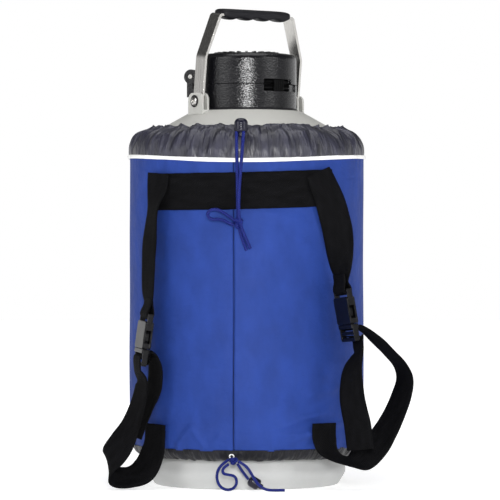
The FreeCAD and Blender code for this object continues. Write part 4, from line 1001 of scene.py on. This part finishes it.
def add_grip():
    """Rubber grip with finger waves below, a soft crowned top and rounded ends."""
    lean = Matrix.Rotation(HANDLE_LEAN, 3, HANDLE_ALONG)
    across, lift = lean @ UP.cross(HANDLE_ALONG), lean @ UP
    centre = (GRIP_LOW + GRIP_HIGH) / 2
    half_length, half_width, half_height = 52 * MM, 14.3 * MM, 7 * MM
    rows, ring, waves, wave_depth, squareness = 90, 40, 4, 2.6 * MM, 0.62
    points = []
    for row in range(rows):
        share = row / (rows - 1) * 2 - 1
        inset = math.sqrt(max(1 - abs(share) ** 14, 0.0)) * 0.35 + 0.65
        crest = 0.5 + 0.5 * math.cos((share + 1) * waves * math.pi)
        low = -half_height + wave_depth * crest + 1.2 * MM * (1 - inset)
        high = half_height - 3 * MM * (1 - inset)
        for step in range(ring):
            angle = 2 * math.pi * step / ring
            out = math.copysign(abs(math.cos(angle)) ** squareness, math.cos(angle))
            rise = math.copysign(abs(math.sin(angle)) ** squareness, math.sin(angle))
            points.append(centre + HANDLE_ALONG * (share * half_length)
                          + across * (out * half_width * inset)
                          + lift * ((low + high) / 2 + rise * (high - low) / 2 * inset))
    obj = add_mesh("grip", points, tube_faces(rows, ring), MATERIALS["rubber_black"])
    settle(obj, "carrying_handle", "rubber_black", "handle_grip")


# Small trim ------------------------------------------------------------------------------------

def add_ring(name, centre, out, radius, thickness, body, slot):
    """Round ring that faces a direction."""
    around, tube, flatness = 28, 12, 0.9
    side = out.cross(UP).normalized()
    lift = side.cross(out).normalized()
    points = []
    for i in range(around):
        angle = 2 * math.pi * i / around
        ring = side * math.cos(angle) + lift * math.sin(angle)
        for j in range(tube):
            turn = 2 * math.pi * j / tube
            points.append(centre + ring * (radius + thickness * math.cos(turn))
                          + out * (flatness * thickness * math.sin(turn)))
    obj = add_mesh(name, points, hoop_faces(around, tube), MATERIALS[slot])
    settle(obj, body, slot)


def add_catch_shade_plate(name, body, low, high):
    """Thin dark plate on the floor of the catch's notch, on one half of the cap: painted shade in
    the notch.
    """
    radius, first_turn, last_turn, steps = 61.3 * MM, 20.4, 61.6, 24
    points = []
    for step in range(steps + 1):
        turn = first_turn + (last_turn - first_turn) * step / steps
        points += [place(turn, radius, low * MM), place(turn, radius, high * MM)]
    faces = [(2 * i, 2 * i + 2, 2 * i + 3, 2 * i + 1) for i in range(steps)]
    obj = add_mesh(name, points, faces, MATERIALS["catch_painted_shade"])
    thicken(obj, 0.2 * MM)
    settle(obj, body, "cap_plastic")


def add_trim():
    """White eyelet where the bottom cord leaves the hem, and a dark ring round each bolt head:
    painted dark reflection of the head's rim.
    """
    rim_shade_spread, rim_shade_radius, rim_shade_thickness = 81.2 * MM, 6.6 * MM, 1.25 * MM
    hole = place(-7.2, 145.8 * MM, 43.8 * MM)
    leaning = (hole - UP * hole.z).normalized() * 0.94 - UP * 0.34
    add_ring("hem_eyelet", hole, leaning, 2.7 * MM, 0.8 * MM, "vessel", "washer_plastic")
    pivots = (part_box("pivot_bolts")[0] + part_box("pivot_bolts")[1]) / 2
    # Dark rings round the bolt heads: painted reflection of the dark surroundings in each domed
    # head's rim.
    for side, sign in (("left", -1), ("right", 1)):
        out = HANDLE_ALONG * sign
        add_ring(f"{side}_bolt_rim_shade", pivots + out * rim_shade_spread, out, rim_shade_radius,
                 rim_shade_thickness, "vessel", "rubber_black")


def add_spring(side):
    """Copy of a cord lock's spring, riding on the vessel."""
    original = NODES[f"{side}_lock_spring"]
    obj = add_object(f"{side}_spring_coil", original.data.copy())
    obj.matrix_world = original.matrix_world
    obj.data.materials.clear()
    obj.data.materials.append(MATERIALS["spring_steel"])
    settle(obj, "vessel", "spring_steel", f"{side}_lock_spring")
    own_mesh(obj)


def paint_frame():
    """Give every CAD node the procedural material of its slot, and the catch a darker copy:
    painted shade of its notch.
    """
    slots = {part["node"]: part["material_slot"] for part in frame["record"]["subparts"]}
    # The slider sits in the notch and gets the darker copy of the cap's plastic: painted shade.
    slots["latch_slider"] = "catch_painted_shade"
    for node, obj in NODES.items():
        material = MATERIALS[slots[node]]
        if not obj.material_slots:
            obj.data.materials.append(material)
        for slot in obj.material_slots:
            slot.material = material


def build():
    """The whole scene, the camera and the cords first."""
    add_camera()
    add_cords()
    add_color_view()
    add_world()
    add_studio()
    add_floor()
    paint_frame()
    add_cover()
    add_band()
    add_straps()
    for side in ("left", "right"):
        add_socket(side)
        add_plug(side)
    add_grip()
    add_trim()
    # Dark plates on the floor of the catch's notch, on both halves: painted shade.
    add_catch_shade_plate("catch_shade_plate_low", "vessel", 503.2, 511.8)
    add_catch_shade_plate("catch_shade_plate_high", "cap_lid", 513.0, 518.3)
    add_spring("top")
    add_spring("bottom")


build()
